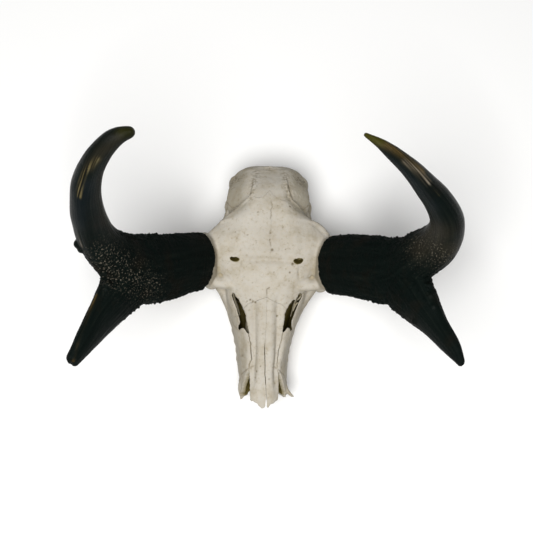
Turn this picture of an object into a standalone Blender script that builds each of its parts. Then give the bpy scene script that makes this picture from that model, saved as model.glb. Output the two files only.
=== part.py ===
"""A pronghorn skull, life size, lying on its cheek teeth and the back of its braincase.

The frame is +Z up from the surface that the skull lies on, -Y to the nose and +X to the animal's left, which is
on the right of a page that the nose points down. The origin is under the middle of the whole, horns included.
Lengths below are in millimetres, and each mesh is scaled to metres as it is made. They count from a point on the
skull's own middle plane, between the orbits, and main() moves the whole to its origin at the end.

The skull is shaped whole from overlapping masses, hollowed, and then parted near its main sutures by thin cuts.
Each horn is shaped whole and parted at its fork. The teeth are part of the bones that they grow from.
"""

import math

import bmesh
import bpy
import numpy as np
from mathutils import Matrix, Vector

MM = 0.001
GAP = 0.3
SIDES = {"left": 1, "right": -1}

# Driving dimensions
NASION = (0, -26, 110)
BREGMA = (0, 63, 118)
ORBIT_CENTRE = (61.5, -1, 79)
ORBIT_RADIUS = 20.5
ORBIT_RIM = 4.5
ORBIT_AXIS = (0.965, -0.235, 0.04)
HORN_ROOT = (60.5, -3, 113)
HORN_BASE_THICKNESS, HORN_BASE_DEPTH = 30, 54
HORN_AXIS = (0.36, -0.13, 0.93)
BONE_WALL = 3

SKULL_VOXEL, HORN_VOXEL = 1.5, 1.5
SKULL_TRIANGLES, HORN_TRIANGLES = 7800, 1400

MATERIALS = {
    "bone": ((0.62, 0.59, 0.53), 0.75),
    "horn": ((0.012, 0.013, 0.012), 0.45),
}

# The snout's half outline at each station: y, then (x, z) from the middle of the roof round to the middle of the palate
SNOUT = (
    (-140, (0, 68.4), (8, 67.8), (12.5, 64.8), (16.5, 58), (21.5, 46), (22.5, 30), (18, 29), (0, 34)),
    (-118, (0, 76.4), (8, 75.7), (12.5, 72.4), (17, 66), (21.8, 50), (22.6, 24), (17.5, 22), (0, 30)),
    (-100, (0, 83), (8, 82.3), (12.8, 79.2), (17.5, 73), (23, 56), (24.5, 18), (18, 16.5), (0, 27)),
    (-88, (0, 87.4), (8.5, 86.8), (13.3, 83.8), (18.5, 78), (24, 60), (25, 14), (16.5, 13), (0, 25)),
    (-75, (0, 92.1), (9, 91.4), (14.5, 88.6), (20.5, 82.6), (26, 66), (26.5, 13), (17, 12), (0, 24)),
    (-60, (0, 97.6), (10.5, 96.8), (17, 93.8), (25, 86.5), (29.5, 70), (30, 13), (18.5, 12), (0, 24)),
    (-45, (0, 103), (12.5, 102.2), (20, 98.8), (30, 90.5), (34, 74), (33, 13), (20.5, 12), (0, 24)),
    (-30, (0, 108.4), (15, 107.3), (25, 103.2), (35, 94), (38, 78), (34, 14), (21.5, 13), (0, 25)),
    (-18, (0, 112.3), (18, 111), (32, 106), (40, 95), (38, 78), (31, 20), (20, 18), (0, 34)),
    (-8, (0, 115), (18, 113), (30, 106), (33, 92), (28, 76), (25, 42), (17, 38), (0, 48)),
)

# The cranium's half outline: roof, edge of the roof, neck under it, bulge of the braincase, lower edge, base
CRANIUM = (
    (-28, (0, 109), (15, 107.5), (28, 101), (33, 88), (30, 72), (22, 54), (0, 48)),
    (-12, (0, 114.2), (26, 112), (44, 104), (33, 91), (26, 76), (20, 57), (0, 50)),
    (4, (0, 118), (30, 116), (50, 107), (30, 91), (24, 76), (18, 58), (0, 51)),
    (20, (0, 120.6), (30, 118.5), (62, 102.5), (31, 92), (27, 78), (20, 58), (0, 50)),
    (34, (0, 121.2), (26, 118.5), (49, 103.5), (33, 92), (33, 78), (24, 58), (0, 48)),
    (41, (0, 121), (23, 118.8), (42, 104.8), (33.5, 93), (35, 79), (26, 57.5), (0, 47)),
    (47, (0, 120.6), (19, 118.6), (33, 108), (34.5, 95), (38, 80), (29, 57), (0, 46)),
    (62, (0, 117), (12, 116), (19.5, 111), (34.5, 96), (41, 80), (31, 56), (0, 45)),
    (75, (0, 109.5), (13, 108.5), (21.5, 104), (34, 91), (39.5, 76), (32, 54), (0, 45)),
    (87, (0, 97.5), (15, 96.8), (24, 92), (31, 81), (36, 69), (30, 53), (0, 46)),
    (96, (0, 86.5), (15, 86), (23, 82), (28, 75), (30, 66), (24, 54), (0, 50)),
    (100, (0, 78), (11, 77.5), (18, 75), (22, 70), (23, 64), (17, 57), (0, 54)),
)


def material(name):
    """The named material, made once."""
    found = bpy.data.materials.get(name)
    if found:
        return found
    colour, roughness = MATERIALS[name]
    made = bpy.data.materials.new(name)
    made.use_nodes = True
    shader = made.node_tree.nodes["Principled BSDF"]
    shader.inputs["Base Color"].default_value = (*colour, 1)
    shader.inputs["Roughness"].default_value = roughness
    return made


def new_object(name, mesh):
    made = bpy.data.objects.new(name, mesh)
    bpy.context.scene.collection.objects.link(made)
    return made


def object_from(name, bm):
    """An object made from bm, whose points are in millimetres."""
    bmesh.ops.recalc_face_normals(bm, faces=bm.faces)
    bmesh.ops.scale(bm, vec=(MM, MM, MM), verts=bm.verts)
    mesh = bpy.data.meshes.new(name)
    bm.to_mesh(mesh)
    bm.free()
    return new_object(name, mesh)


def spline(knots, values, where):
    """Values on a smooth curve through the given ones, at the places asked for."""
    knots, values, where = (np.asarray(x, float) for x in (knots, values, where))
    slopes = np.gradient(values, knots, axis=0)
    low = np.clip(np.searchsorted(knots, where, side="right") - 1, 0, len(knots) - 2)
    span = (knots[low + 1] - knots[low])[:, None]
    t = (where - knots[low])[:, None] / span
    return (
        values[low] * (1 + 2 * t) * (1 - t) ** 2
        + values[low + 1] * t * t * (3 - 2 * t)
        + slopes[low] * span * t * (1 - t) ** 2
        - slopes[low + 1] * span * t * t * (1 - t)
    )


def tube(name, rings):
    """A closed body through rings of as many points each, with flat ends."""
    bm = bmesh.new()
    layers = [[bm.verts.new(point) for point in ring] for ring in rings]
    count = len(layers[0])
    for near, far in zip(layers, layers[1:]):
        for i in range(count):
            j = (i + 1) % count
            bm.faces.new((near[i], near[j], far[j], far[i]))
    bm.faces.new(layers[0])
    bm.faces.new(layers[-1])
    return object_from(name, bm)


def symmetric_body(name, stations, step=3, around=4):
    """A body through half outlines at stations along y, mirrored across the middle and smoothed both ways."""
    ys = [station[0] for station in stations]
    halves = np.array([station[1:] for station in stations], float)
    corners = halves.shape[1]
    places = np.linspace(ys[0], ys[-1], int((ys[-1] - ys[0]) / step) + 1)
    rows = spline(ys, halves.reshape(len(ys), -1), places).reshape(len(places), corners, 2)
    turns = np.linspace(0, corners - 1, (corners - 1) * around + 1)
    rings = []
    for y, row in zip(places, rows):
        half = spline(range(corners), row, turns)
        half[:, 0] = np.maximum(half[:, 0], 0)
        ring = [(x, y, z) for x, z in half]
        ring += [(-x, y, z) for x, z in half[-2:0:-1]]
        rings.append(ring)
    return tube(name, rings)


def limb(name, path, widths, depths=None, thin=(0, 0, 1), sides=16, step=0.34):
    """A rod along a smooth path. widths are half widths along the direction thin, depths across it."""
    path = np.asarray(path, float)
    depths = widths if depths is None else depths
    knots = np.arange(len(path))
    places = np.linspace(0, len(path) - 1, int((len(path) - 1) / step) + 1)
    centres = spline(knots, path, places)
    sizes = spline(knots, np.column_stack([widths, depths]), places)
    tangents = np.gradient(centres, axis=0)
    rings = []
    for centre, tangent, (width, depth) in zip(centres, tangents, sizes):
        along = Vector(tangent).normalized()
        out = Vector(thin)
        out = (out - along * out.dot(along)).normalized()
        across = along.cross(out)
        rings.append([
            Vector(centre) + out * width * math.cos(turn) + across * depth * math.sin(turn)
            for turn in np.linspace(0, 2 * math.pi, sides, endpoint=False)
        ])
    return tube(name, rings)


def egg(name, centre, radii, tilt=(0, 0, 0)):
    """An ellipsoid, turned by tilt degrees about x, y and z."""
    bm = bmesh.new()
    bmesh.ops.create_uvsphere(bm, u_segments=24, v_segments=16, radius=1)
    turn = Matrix.Translation(centre)
    for axis, degrees in zip("XYZ", tilt):
        turn = turn @ Matrix.Rotation(math.radians(degrees), 4, axis)
    bmesh.ops.transform(bm, matrix=turn @ Matrix.Diagonal((*radii, 1)), verts=bm.verts)
    return object_from(name, bm)


def evaluated_mesh(obj):
    bpy.context.view_layer.update()
    graph = bpy.context.evaluated_depsgraph_get()
    return bpy.data.meshes.new_from_object(obj.evaluated_get(graph))


def apply_modifiers(obj):
    mesh = evaluated_mesh(obj)
    obj.modifiers.clear()
    obj.data = mesh
    return obj


def joined(name, pieces):
    """The pieces as one object of separate closed shells."""
    bm = bmesh.new()
    for piece in pieces:
        bm.from_mesh(piece.data)
        bpy.data.objects.remove(piece)
    mesh = bpy.data.meshes.new(name)
    bm.to_mesh(mesh)
    bm.free()
    return new_object(name, mesh)


def fuse(name, pieces, voxel, smooth):
    """The pieces melted into one closed surface and smoothed."""
    body = joined(name, pieces)
    remesh = body.modifiers.new("melt", "REMESH")
    remesh.mode = "VOXEL"
    remesh.voxel_size = voxel * MM
    if smooth:
        soften = body.modifiers.new("soften", "SMOOTH")
        soften.iterations = smooth
        soften.factor = 0.5
    return apply_modifiers(body)


def boolean(body, tools, operation, solver="EXACT"):
    """The body after each tool has been cut from it, joined to it or shared with it."""
    for tool in tools:
        step = body.modifiers.new("step", "BOOLEAN")
        step.operation = operation
        step.object = tool
        step.solver = solver
        apply_modifiers(body)
        bpy.data.objects.remove(tool)
    return body


def largest_shell(body):
    """Drops every closed surface but the largest."""
    bm = bmesh.new()
    bm.from_mesh(body.data)
    unseen, shells = set(bm.verts), []
    while unseen:
        stack, shell = [unseen.pop()], []
        while stack:
            vert = stack.pop()
            shell.append(vert)
            for edge in vert.link_edges:
                other = edge.other_vert(vert)
                if other in unseen:
                    unseen.remove(other)
                    stack.append(other)
        shells.append(shell)
    shells.sort(key=len)
    bmesh.ops.delete(bm, geom=[v for shell in shells[:-1] for v in shell], context="VERTS")
    bm.to_mesh(body.data)
    bm.free()
    return body


def decimate(body, triangles):
    """The body with about that many triangles."""
    bm = bmesh.new()
    bm.from_mesh(body.data)
    bmesh.ops.triangulate(bm, faces=bm.faces)
    now = len(bm.faces)
    bm.to_mesh(body.data)
    bm.free()
    fewer = body.modifiers.new("fewer", "DECIMATE")
    fewer.ratio = min(1, triangles / now)
    return apply_modifiers(body)


def mirrored(point, side):
    return (point[0] * side, point[1], point[2])


def orbit_axis(side):
    return Vector(mirrored(ORBIT_AXIS, side)).normalized()


def eye_socket_mass(side):
    """The bony tube that carries the orbit's rim."""
    centre, axis = Vector(mirrored(ORBIT_CENTRE, side)), orbit_axis(side)
    outer = ORBIT_RADIUS + ORBIT_RIM
    depths = (-38, -24, -12, -3, 1)
    radii = (15, 18.5, 21.5, outer - 0.5, outer - 1.5)
    return limb("socket", [centre + axis * d for d in depths], radii, sides=28)


def eye_socket_pit(side):
    """The orbit's hollow, which narrows inwards and back to the optic canal."""
    centre, axis = Vector(mirrored(ORBIT_CENTRE, side)), orbit_axis(side)
    depths = (-34, -28, -18, -8, 0, 8)
    radii = (4, 10, 16, 19.5, ORBIT_RADIUS, ORBIT_RADIUS + 0.5)
    back = (9, 5, 2, 0, 0, 0)
    path = [centre + axis * d + Vector((0, b, 0)) for d, b in zip(depths, back)]
    return limb("pit", path, radii, sides=28)


def pedicle(side):
    """The bony stump above the orbit that carries the horn."""
    root, rise = Vector(mirrored(HORN_ROOT, side)), Vector(mirrored(HORN_AXIS, side)).normalized()
    foot = Vector(mirrored((46, 2, 90), side))
    half_thickness, half_depth = HORN_BASE_THICKNESS / 2 - 2.5, HORN_BASE_DEPTH / 2 - 2.5
    return limb(
        "pedicle", [foot, root - rise * 9, root + rise * 4],
        (10, half_thickness, half_thickness), (22, half_depth, half_depth), thin=(side, 0, 0), sides=24,
    )


def side_masses(side):
    """The masses of one side: socket, pedicle, cheek, arch, ear region, condyle and process."""
    def at(*point):
        return mirrored(point, side)

    yield eye_socket_mass(side)
    yield pedicle(side)
    yield limb(
        "cheek", [at(22, -66, 46), at(27.5, -46, 52), at(35.5, -28, 60), at(47.5, -10, 62), at(58, 8, 61), at(60.5, 20, 64)],
        (7, 9, 11, 9, 5, 5), (7, 8, 9, 8, 5, 5),
    )
    yield limb(
        "arch", [at(60, 16, 64), at(53.5, 30, 62.5), at(42.5, 46, 61), at(38.5, 60, 60), at(35, 70, 60)],
        (6.5, 5.5, 5, 5.5, 8), (4, 3, 3, 3.5, 5),
    )
    yield limb(
        "postorbital", [at(56, 20, 101), at(61.5, 25, 89), at(62.5, 24, 76), at(60.5, 18, 65)],
        (6, 4.5, 4.5, 5), (6, 4.5, 4.5, 5), thin=(1, 0, 0),
    )
    yield egg("glenoid", at(35, 62, 58), (9, 11, 7))
    yield egg("bulla", at(19.5, 67, 41), (7.5, 13, 12), (20, 0, 0))
    yield limb("ear_canal", [at(24, 72, 50), at(31, 75, 54), at(36, 77, 57)], (6.5, 5.2, 4.6))
    yield egg("mastoid", at(33, 83.5, 62), (6.8, 7.5, 13), (-20, 0, 0))
    yield egg("condyle", at(12.5, 98, 53), (8.5, 8, 12), (-25, 0, 0))
    yield limb(
        "process", [at(24, 86, 56), at(25, 87, 38), at(25.5, 87, 22), at(25.5, 85, 6), at(25.5, 84, -3)],
        (6, 4.6, 4, 3.6, 3.2), (9, 8, 6.5, 5, 4), thin=(1, 0, 0),
    )
    yield limb(
        "pterygoid", [at(12, -26, 38), at(11, -6, 38), at(11, 12, 41), at(13, 28, 50)],
        (8, 10, 9, 5), (3, 2.5, 2.3, 3),
    )
    yield egg("lacrimal", at(52.5, -21.5, 93), (7, 6, 7))
    yield limb("brow", [at(30, -22, 99), at(42, -21, 97.5), at(54, -19, 97.5)], (6, 6.5, 7), (6, 6, 6))
    if side > 0:
        yield limb("shoulder", [at(42, 39, 102), at(49, 33.5, 101), at(57, 25, 100)], (3.5, 5, 5), (3.5, 5, 5))
    yield limb(
        "front_tip", [at(20.5, -104, 47), at(23, -118, 44), at(31, -127, 43) if side > 0 else at(21, -128, 41)],
        (6, 5, 3.5), (2.8, 2, 1.4),
    )
    yield limb(
        "crest", [at(0, 95, 86), at(13, 93.2, 84.5), at(24, 89, 80), at(31.5, 83, 71), at(35, 80, 60)],
        (2.5, 2.5, 2.5, 3, 4), (3.5, 3.5, 3.5, 3.5, 4),
    )


def skull_masses():
    yield symmetric_body("snout", SNOUT)
    yield symmetric_body("cranium", CRANIUM)
    yield limb(
        "skull_base", [(0, -8, 50), (0, 25, 47), (0, 60, 44), (0, 85, 44), (0, 99, 46)],
        (8, 7, 6, 6, 5), (12, 12, 12, 13, 11),
    )
    for side in SIDES.values():
        yield from side_masses(side)


def nasal_cavity():
    """The hollow of the snout, a wall's thickness inside it, open at the front."""
    stations = []
    for y, *outline in SNOUT[:8]:
        inner = [(max(0, x - BONE_WALL), z - BONE_WALL) for x, z in outline[:5]]
        palate = outline[-1][1] + 5
        wall = outline[4][0] - BONE_WALL
        inner += [(wall * 0.8, palate + 2), (wall * 0.5, palate), (0, palate)]
        stations.append((y - 8 if y < -130 else y, *inner))
    return symmetric_body("cavity", stations)


def face_window(side):
    """The gap between the nasal bone, the frontal and the cheek, seen through the side of the face."""
    path = [(31, -28, 98), (28.5, -34, 97), (24, -45, 95.5), (21.3, -55, 92), (21, -61, 88), (19.8, -68, 84)]
    path = [mirrored(point, side) for point in path]
    return limb("window", path, (8, 9, 10, 10, 9, 7), (0.8, 2.4, 3.4, 3.1, 4.2, 2.6), thin=(0.5 * side, 0, 1))


def side_prism(name, outline, low, high, side):
    """A prism across one side, from the outline of (y, z) points between two distances from the middle."""
    return tube(name, [[mirrored((x, y, z), side) for y, z in outline] for x in (low, high)])


def front_edge(side):
    """Cuts the snout's side wall back to its broken edge, from the nasal bone down to the lower tip."""
    line = ((-103, 90), (-108.5, 79), (-118, 62), (-124, 50), (-128, 33), (-128, 20), (-160, 20), (-160, 90))
    return side_prism("front_edge", line, 12.9, 34, side)


def nasal_ends():
    """Cuts the two nasal bones to their ragged ends."""
    ragged = [(-15, -131), (-11, -133), (-7.5, -132), (-4.5, -136), (-1.5, -139), (0, -133), (1.5, -138.5),
              (6, -136.5), (9, -133.5), (15, -131)]
    ring = [(-20, -160), (-20, -131), *ragged, (20, -131), (20, -160)]
    return tube("nasal_ends", [[(x, y, z) for x, y in ring] for z in (58, 84)])


def palate_front():
    """Cuts the palate back between the two lower tips."""
    ring = [(-30, -150), (-26, -129.5), (-20, -127.5), (-16, -123.5), (-12, -120), (-6, -114), (4, -114), (10, -118),
            (14, -122), (20, -124.5), (26, -127), (30, -150)]
    return tube("palate_front", [[(x, y, z) for x, y in ring] for z in (10, 52)])


def brow_hole(side):
    """The supraorbital foramen, which slants forwards and inwards."""
    return limb(
        "brow_hole", [mirrored(p, side) for p in ((30, -5, 124), (30.5, -1, 113), (31, 5, 100))],
        (2, 2, 2), (3.6, 3.6, 3.6), thin=(0, 1, 0), sides=12,
    )


def skull_openings():
    yield nasal_cavity()
    yield nasal_ends()
    yield palate_front()
    yield limb("choana", [(0, 12, 34), (0, -8, 40), (0, -28, 50), (0, -45, 56)], (5, 7, 9, 10), (7, 8, 9, 10))
    yield limb("foramen_magnum", [(0, 112, 58), (0, 99, 60), (0, 82, 66)], (8.5, 8.5, 7), (8.5, 8.5, 7))
    for side in SIDES.values():
        yield eye_socket_pit(side)
        yield face_window(side)
        yield front_edge(side)
        yield brow_hole(side)
        yield half_space(
            Vector(mirrored(HORN_ROOT, side)), Vector(mirrored(HORN_AXIS, side)), 60,
        )
        yield limb(
            "ear_hole", [mirrored(p, side) for p in ((42, 80, 60), (35, 77, 57), (28, 73, 53))],
            (2.8, 2.8, 2.4), sides=12,
        )


def half_space(point, normal, size=400):
    """A block that fills one side of a plane, on the side that normal points to."""
    bm = bmesh.new()
    bmesh.ops.create_cube(bm, size=size)
    turn = Vector(normal).to_track_quat("Z", "Y").to_matrix().to_4x4()
    lift = Matrix.Translation(Vector(point) + Vector(normal).normalized() * size / 2)
    bmesh.ops.transform(bm, matrix=lift @ turn, verts=bm.verts)
    return object_from("block", bm)


def copy_of(body, name):
    made = new_object(name, body.data.copy())
    made.name = name
    return made


def parted(body, point, normal, behind, ahead):
    """Two nodes from one body, either side of a plane, with a thin gap between them."""
    point, normal = Vector(point), Vector(normal).normalized()
    far = copy_of(body, ahead)
    boolean(far, [half_space(point + normal * GAP / 2, normal)], "INTERSECT")
    body.name = behind
    boolean(body, [half_space(point - normal * GAP / 2, -normal)], "INTERSECT")
    return largest_shell(body), largest_shell(far)


def taken_out(body, name, inner, outer):
    """The part of body inside one tool as a node of its own. outer is the same tool, larger by the gap."""
    piece = boolean(copy_of(body, name), [inner], "INTERSECT")
    boolean(body, [outer], "DIFFERENCE")
    return largest_shell(piece), largest_shell(body)


def smooth(value):
    value = min(1, max(0, value))
    return value * value * (3 - 2 * value)


def lean_at(y, z):
    """How far the snout leans at a place: its ridge to the animal's left and its sides to the right."""
    low = -1.5 + 1.8 * smooth((-85 - y) / 35)
    ridge = smooth((-30 - y) / 60) * min(1.3, max(0, (z - 70) / 9))
    return ridge + smooth((-20 - y) / 40) * max(low, min(0, (z - 84) / 9))


def leaned(body):
    for vertex in body.data.vertices:
        vertex.co.x += lean_at(vertex.co.y / MM, vertex.co.z / MM) * MM
    return body


def whole_skull():
    body = fuse("skull", list(skull_masses()), SKULL_VOXEL, 6)
    boolean(body, skull_openings(), "DIFFERENCE", "MANIFOLD")
    body = fuse("skull", [body], SKULL_VOXEL * 0.8, 2)
    body = leaned(decimate(largest_shell(body), SKULL_TRIANGLES))
    return boolean(body, [half_space((0, 0, 0), (0, 0, -1))], "DIFFERENCE")


# The upper cheek teeth: place along the row, distance from the middle, length, width, number of lobes
TEETH = (
    (-88, 20.5, 7.6, 6.4, 1), (-79.5, 21.2, 8.4, 7.8, 1), (-70.7, 22.4, 8.8, 9, 1),
    (-60, 24.2, 12, 10.4, 2), (-46.3, 26.6, 14.6, 11.4, 2), (-30.2, 27.8, 16.4, 11.4, 2),
)


def tooth(side, y, x, length, width, lobes):
    """A high-crowned cheek tooth with a flat worn face at the level that the skull lies on."""
    turns = np.linspace(0, 2 * math.pi, 16, endpoint=False)
    rings = []
    for z, grow in ((0, 0.86), (2, 1), (10, 1), (18, 0.94)):
        ring = []
        for turn in turns:
            pinch = 1 - 0.2 * (lobes - 1) * (1 - abs(math.cos(turn))) ** 4
            u = math.copysign(abs(math.cos(turn)) ** 0.7, math.cos(turn)) * length / 2 * grow
            v = math.copysign(abs(math.sin(turn)) ** 0.7, math.sin(turn)) * width / 2 * grow * pinch
            ring.append(mirrored((x + v, y + u, z), side))
        rings.append(ring)
    return leaned(tube("tooth", rings))


# The outer edge of a nasal bone from the front to its back tip, as (x, y). It runs through the face's window.
NASAL_EDGE = (
    (12.5, -150), (12.6, -118), (12.6, -101), (13.5, -84), (15.5, -72), (18, -66), (19.5, -60), (20.5, -52),
    (22, -47), (13.3, -40.5), (6.2, -38), (1.5, -34.5),
)


def nasal_block(side, spread):
    """The block that holds one nasal bone, with its edges moved out by spread."""
    middle = GAP / 2 - spread
    plan = [(middle, y) for y in (-60, -75, -90, -118, -150)]
    plan += [(x + 1.2 * spread, y + spread) for x, y in NASAL_EDGE] + [(middle, spread - 33.6)]
    rings = []
    for lift in (-9, 30):
        ring = []
        for x, y in plan:
            z = NASION[2] + (y - NASION[1]) * 0.35
            ring.append((x * side + lean_at(y, z), y, z + lift))
        rings.append(ring)
    return tube("nasal_block", rings)


def braincase_block(spread):
    """The space behind the coronal suture, with a tongue forward along the skull's base."""
    back = Vector((0, 0.94, -0.336))
    behind = half_space(Vector(BREGMA) - back * spread, back)
    half, front, top = 27 + spread, -5 - spread, 60 + spread
    ring = [(-half, front), (half, front), (half, 75), (-half, 75)]
    tongue = tube("tongue", [[(x, y, z) for x, y in ring] for z in (-20, top)])
    return boolean(behind, [tongue], "UNION")


def skull_nodes(skull):
    """The whole skull parted near its sutures into the nodes that the record lists."""
    nodes = []
    for label, side in SIDES.items():
        nasal, skull = taken_out(skull, f"nasal_{label}", nasal_block(side, 0), nasal_block(side, GAP))
        nodes.append(nasal)
    braincase, skull = taken_out(skull, "braincase", braincase_block(0), braincase_block(GAP))
    face, frontal = parted(skull, (0, -46, 103.3), (0, 0.3, 0.954), "face", "frontal_bone")
    halves = dict(zip(("right", "left"), parted(face, (0, 0, 0), (1, 0, 0), "face", "other_half")))
    nodes += [braincase, frontal]
    for label, side in SIDES.items():
        maxilla, orbit = parted(
            halves[label], mirrored((38, -45, 62), side), mirrored((0.75, 0.5, 0.43), side),
            f"maxilla_{label}", f"orbit_{label}",
        )
        boolean(maxilla, [tooth(side, *row) for row in TEETH], "UNION")
        nodes += [maxilla, orbit]
    return nodes


# Each horn's centre line from the root: (x, y, z), half thickness across the blade, half depth along it
HORN_BEAMS = {
    "right": (
        ((60.5, -3, 113), 15, 27), ((74, -9.8, 141), 14.5, 27.8), ((92, -19, 171), 14.5, 30),
        ((112, -25.5, 203), 15, 30), ((130, -19, 232), 15.5, 22), ((141, -9, 252), 15, 18),
        ((145.5, 4.5, 273), 14, 15.5), ((146, 16.5, 292), 12.5, 14), ((143, 27.5, 308), 11.5, 12.5),
        ((135.5, 38.5, 325), 10, 11), ((126, 48, 336), 8.5, 9), ((116, 54.5, 342), 6.8, 6.8), ((103, 58.5, 343.5), 3.6, 3.6),
    ),
    "left": (
        ((60.5, -3, 113), 15, 27), ((74, -7.5, 141), 14.5, 28), ((92, -14, 171), 14.5, 29),
        ((115, -21, 203), 15, 29), ((131, -12, 232), 15, 22.5), ((144, -3.5, 253), 15.5, 19),
        ((146, 8.5, 274), 14, 15.5), ((137.5, 20, 292), 12, 13), ((123.5, 30.5, 310), 9.8, 10.5),
        ((110.5, 39, 324.5), 7.8, 8.5), ((98.5, 46, 334.5), 6.2, 6.5), ((85.5, 53.5, 342), 4.2, 4.2),
        ((71, 61, 345.5), 1.8, 1.8),
    ),
}
HORN_PRONGS = {
    "right": (
        ((106, -15.5, 194), 9, 21.5), ((119, -38, 212), 13.5, 27.5), ((129, -57, 224), 12, 21.5), ((138.5, -76, 236), 8, 16),
        ((148, -96, 247), 6.5, 11), ((157.5, -114, 255), 4.4, 6),
    ),
    "left": (
        ((108, -12, 194), 9, 20), ((120, -33.5, 212), 13.5, 27), ((131, -52.5, 225), 12.5, 20.5), ((143.5, -73.5, 238), 8, 12.5),
        ((154.5, -91, 248), 6, 8.4), ((162, -106, 255.5), 2.6, 3),
    ),
}


def horn_limb(name, stations, side):
    path = [mirrored(point, side) for point, _, _ in stations]
    return limb(name, path, [s[1] for s in stations], [s[2] for s in stations], thin=(side, 0, -0.5), sides=20)


def horn(label, side):
    """One horn sheath, shaped whole and parted at its fork into beam, prong and hook."""
    root, rise = Vector(mirrored(HORN_ROOT, side)), Vector(mirrored(HORN_AXIS, side)).normalized()
    masses = [
        horn_limb("beam", HORN_BEAMS[label], side),
        horn_limb("prong", HORN_PRONGS[label], side),
    ]
    whole = decimate(largest_shell(fuse("horn", masses, HORN_VOXEL, 6)), HORN_TRIANGLES)
    boolean(whole, [half_space(root + rise * GAP, -rise, 120)], "DIFFERENCE")
    fork, prong_root = Vector(HORN_BEAMS[label][4][0]), Vector(HORN_PRONGS[label][1][0])
    hook_way = Vector(HORN_BEAMS[label][5][0]) - fork
    prong_way = Vector(HORN_PRONGS[label][2][0]) - prong_root
    beam, hook = parted(
        whole, mirrored(fork + hook_way * 0.7, side), mirrored(hook_way, side),
        f"horn_{label}_beam", f"horn_{label}_hook",
    )
    beam, prong = parted(
        beam, mirrored(prong_root + prong_way * 0.3, side), mirrored(prong_way, side),
        f"horn_{label}_beam", f"horn_{label}_prong",
    )
    return beam, hook, prong


def settle(pieces):
    """Moves the whole so that its origin is under its middle, and names each mesh like its object."""
    points = [vert.co for piece in pieces for vert in piece.data.vertices]
    middle = [(min(p[i] for p in points) + max(p[i] for p in points)) / 2 for i in range(2)]
    move = Matrix.Translation((-middle[0], -middle[1], -min(p[2] for p in points)))
    for piece in pieces:
        piece.data.transform(move)
        piece.data.update()
        piece.data.name = piece.name


def main():
    for obj in list(bpy.data.objects):
        bpy.data.objects.remove(obj)
    bones = skull_nodes(whole_skull())
    sheaths = [piece for label, side in SIDES.items() for piece in horn(label, side)]
    for pieces, name in ((bones, "bone"), (sheaths, "horn")):
        for piece in pieces:
            piece.data.materials.clear()
            piece.data.materials.append(material(name))
    settle(bones + sheaths)


main()
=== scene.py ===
"""The looks of the pronghorn skull: bones, teeth and horn sheaths in full detail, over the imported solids.

The shapes are made in millimetres, from the middle plane of the skull, as its solids are, and moved to the row
frame at the end. The nose points to -Y, and +X is the animal's left, on the right of the picture.
"""

import math

import bmesh
import bpy
import numpy as np
from mathutils import Matrix, Vector, noise
from mathutils.bvhtree import BVHTree


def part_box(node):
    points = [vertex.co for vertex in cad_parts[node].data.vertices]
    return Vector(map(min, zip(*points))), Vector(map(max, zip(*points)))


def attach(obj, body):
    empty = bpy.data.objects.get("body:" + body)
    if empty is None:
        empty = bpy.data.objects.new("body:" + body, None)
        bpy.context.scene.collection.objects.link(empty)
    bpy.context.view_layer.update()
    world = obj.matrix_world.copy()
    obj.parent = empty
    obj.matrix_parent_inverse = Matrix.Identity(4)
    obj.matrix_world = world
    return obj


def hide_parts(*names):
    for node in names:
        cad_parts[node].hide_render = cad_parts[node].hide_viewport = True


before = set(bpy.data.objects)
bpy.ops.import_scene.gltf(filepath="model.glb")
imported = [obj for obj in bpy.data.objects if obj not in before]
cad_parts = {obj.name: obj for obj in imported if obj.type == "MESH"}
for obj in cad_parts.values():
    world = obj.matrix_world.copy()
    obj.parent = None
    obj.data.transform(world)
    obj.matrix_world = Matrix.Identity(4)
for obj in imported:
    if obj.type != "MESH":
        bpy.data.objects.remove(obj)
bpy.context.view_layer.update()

MM = 0.001
SIDES = {"left": 1, "right": -1}
SHIFT = Vector((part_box("orbit_left")[0].x - 0.00015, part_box("braincase")[0].y + 0.005, 0))

NASION = (0, -26, 110)
BREGMA = (0, 63, 118)
ORBIT_CENTRE = (61.5, -1, 79)
ORBIT_RADIUS = 20.5
ORBIT_RIM = 4.5
ORBIT_AXIS = (0.965, -0.235, 0.04)
HORN_ROOT = (60.5, -3, 113)
HORN_BASE_THICKNESS, HORN_BASE_DEPTH = 30, 54
HORN_AXIS = (0.36, -0.13, 0.93)
BONE_WALL = 3
SUTURE = 0.22
SKULL_VOXEL, FINE_VOXEL, HORN_VOXEL = 1.0, 0.75, 0.8
MELT_PASSES, CORE_PASSES, LAST_PASSES = 8, 1, 2
PEDICLE_INSET, CORE_INSET, CORE_TAPER = 2.5, 3, 0.8
HORN_CUT = 60
WINDOW_STEP, WINDOW_WANDER = 0.7, 0.45
PIT_REACH = 6
PRONG_START = 100
SHARP_ANGLE = 35
# How much painted shade the nose's insides get, as the hollow's walls do
INSIDES_PAINTED_SHADE = 0.55

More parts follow.
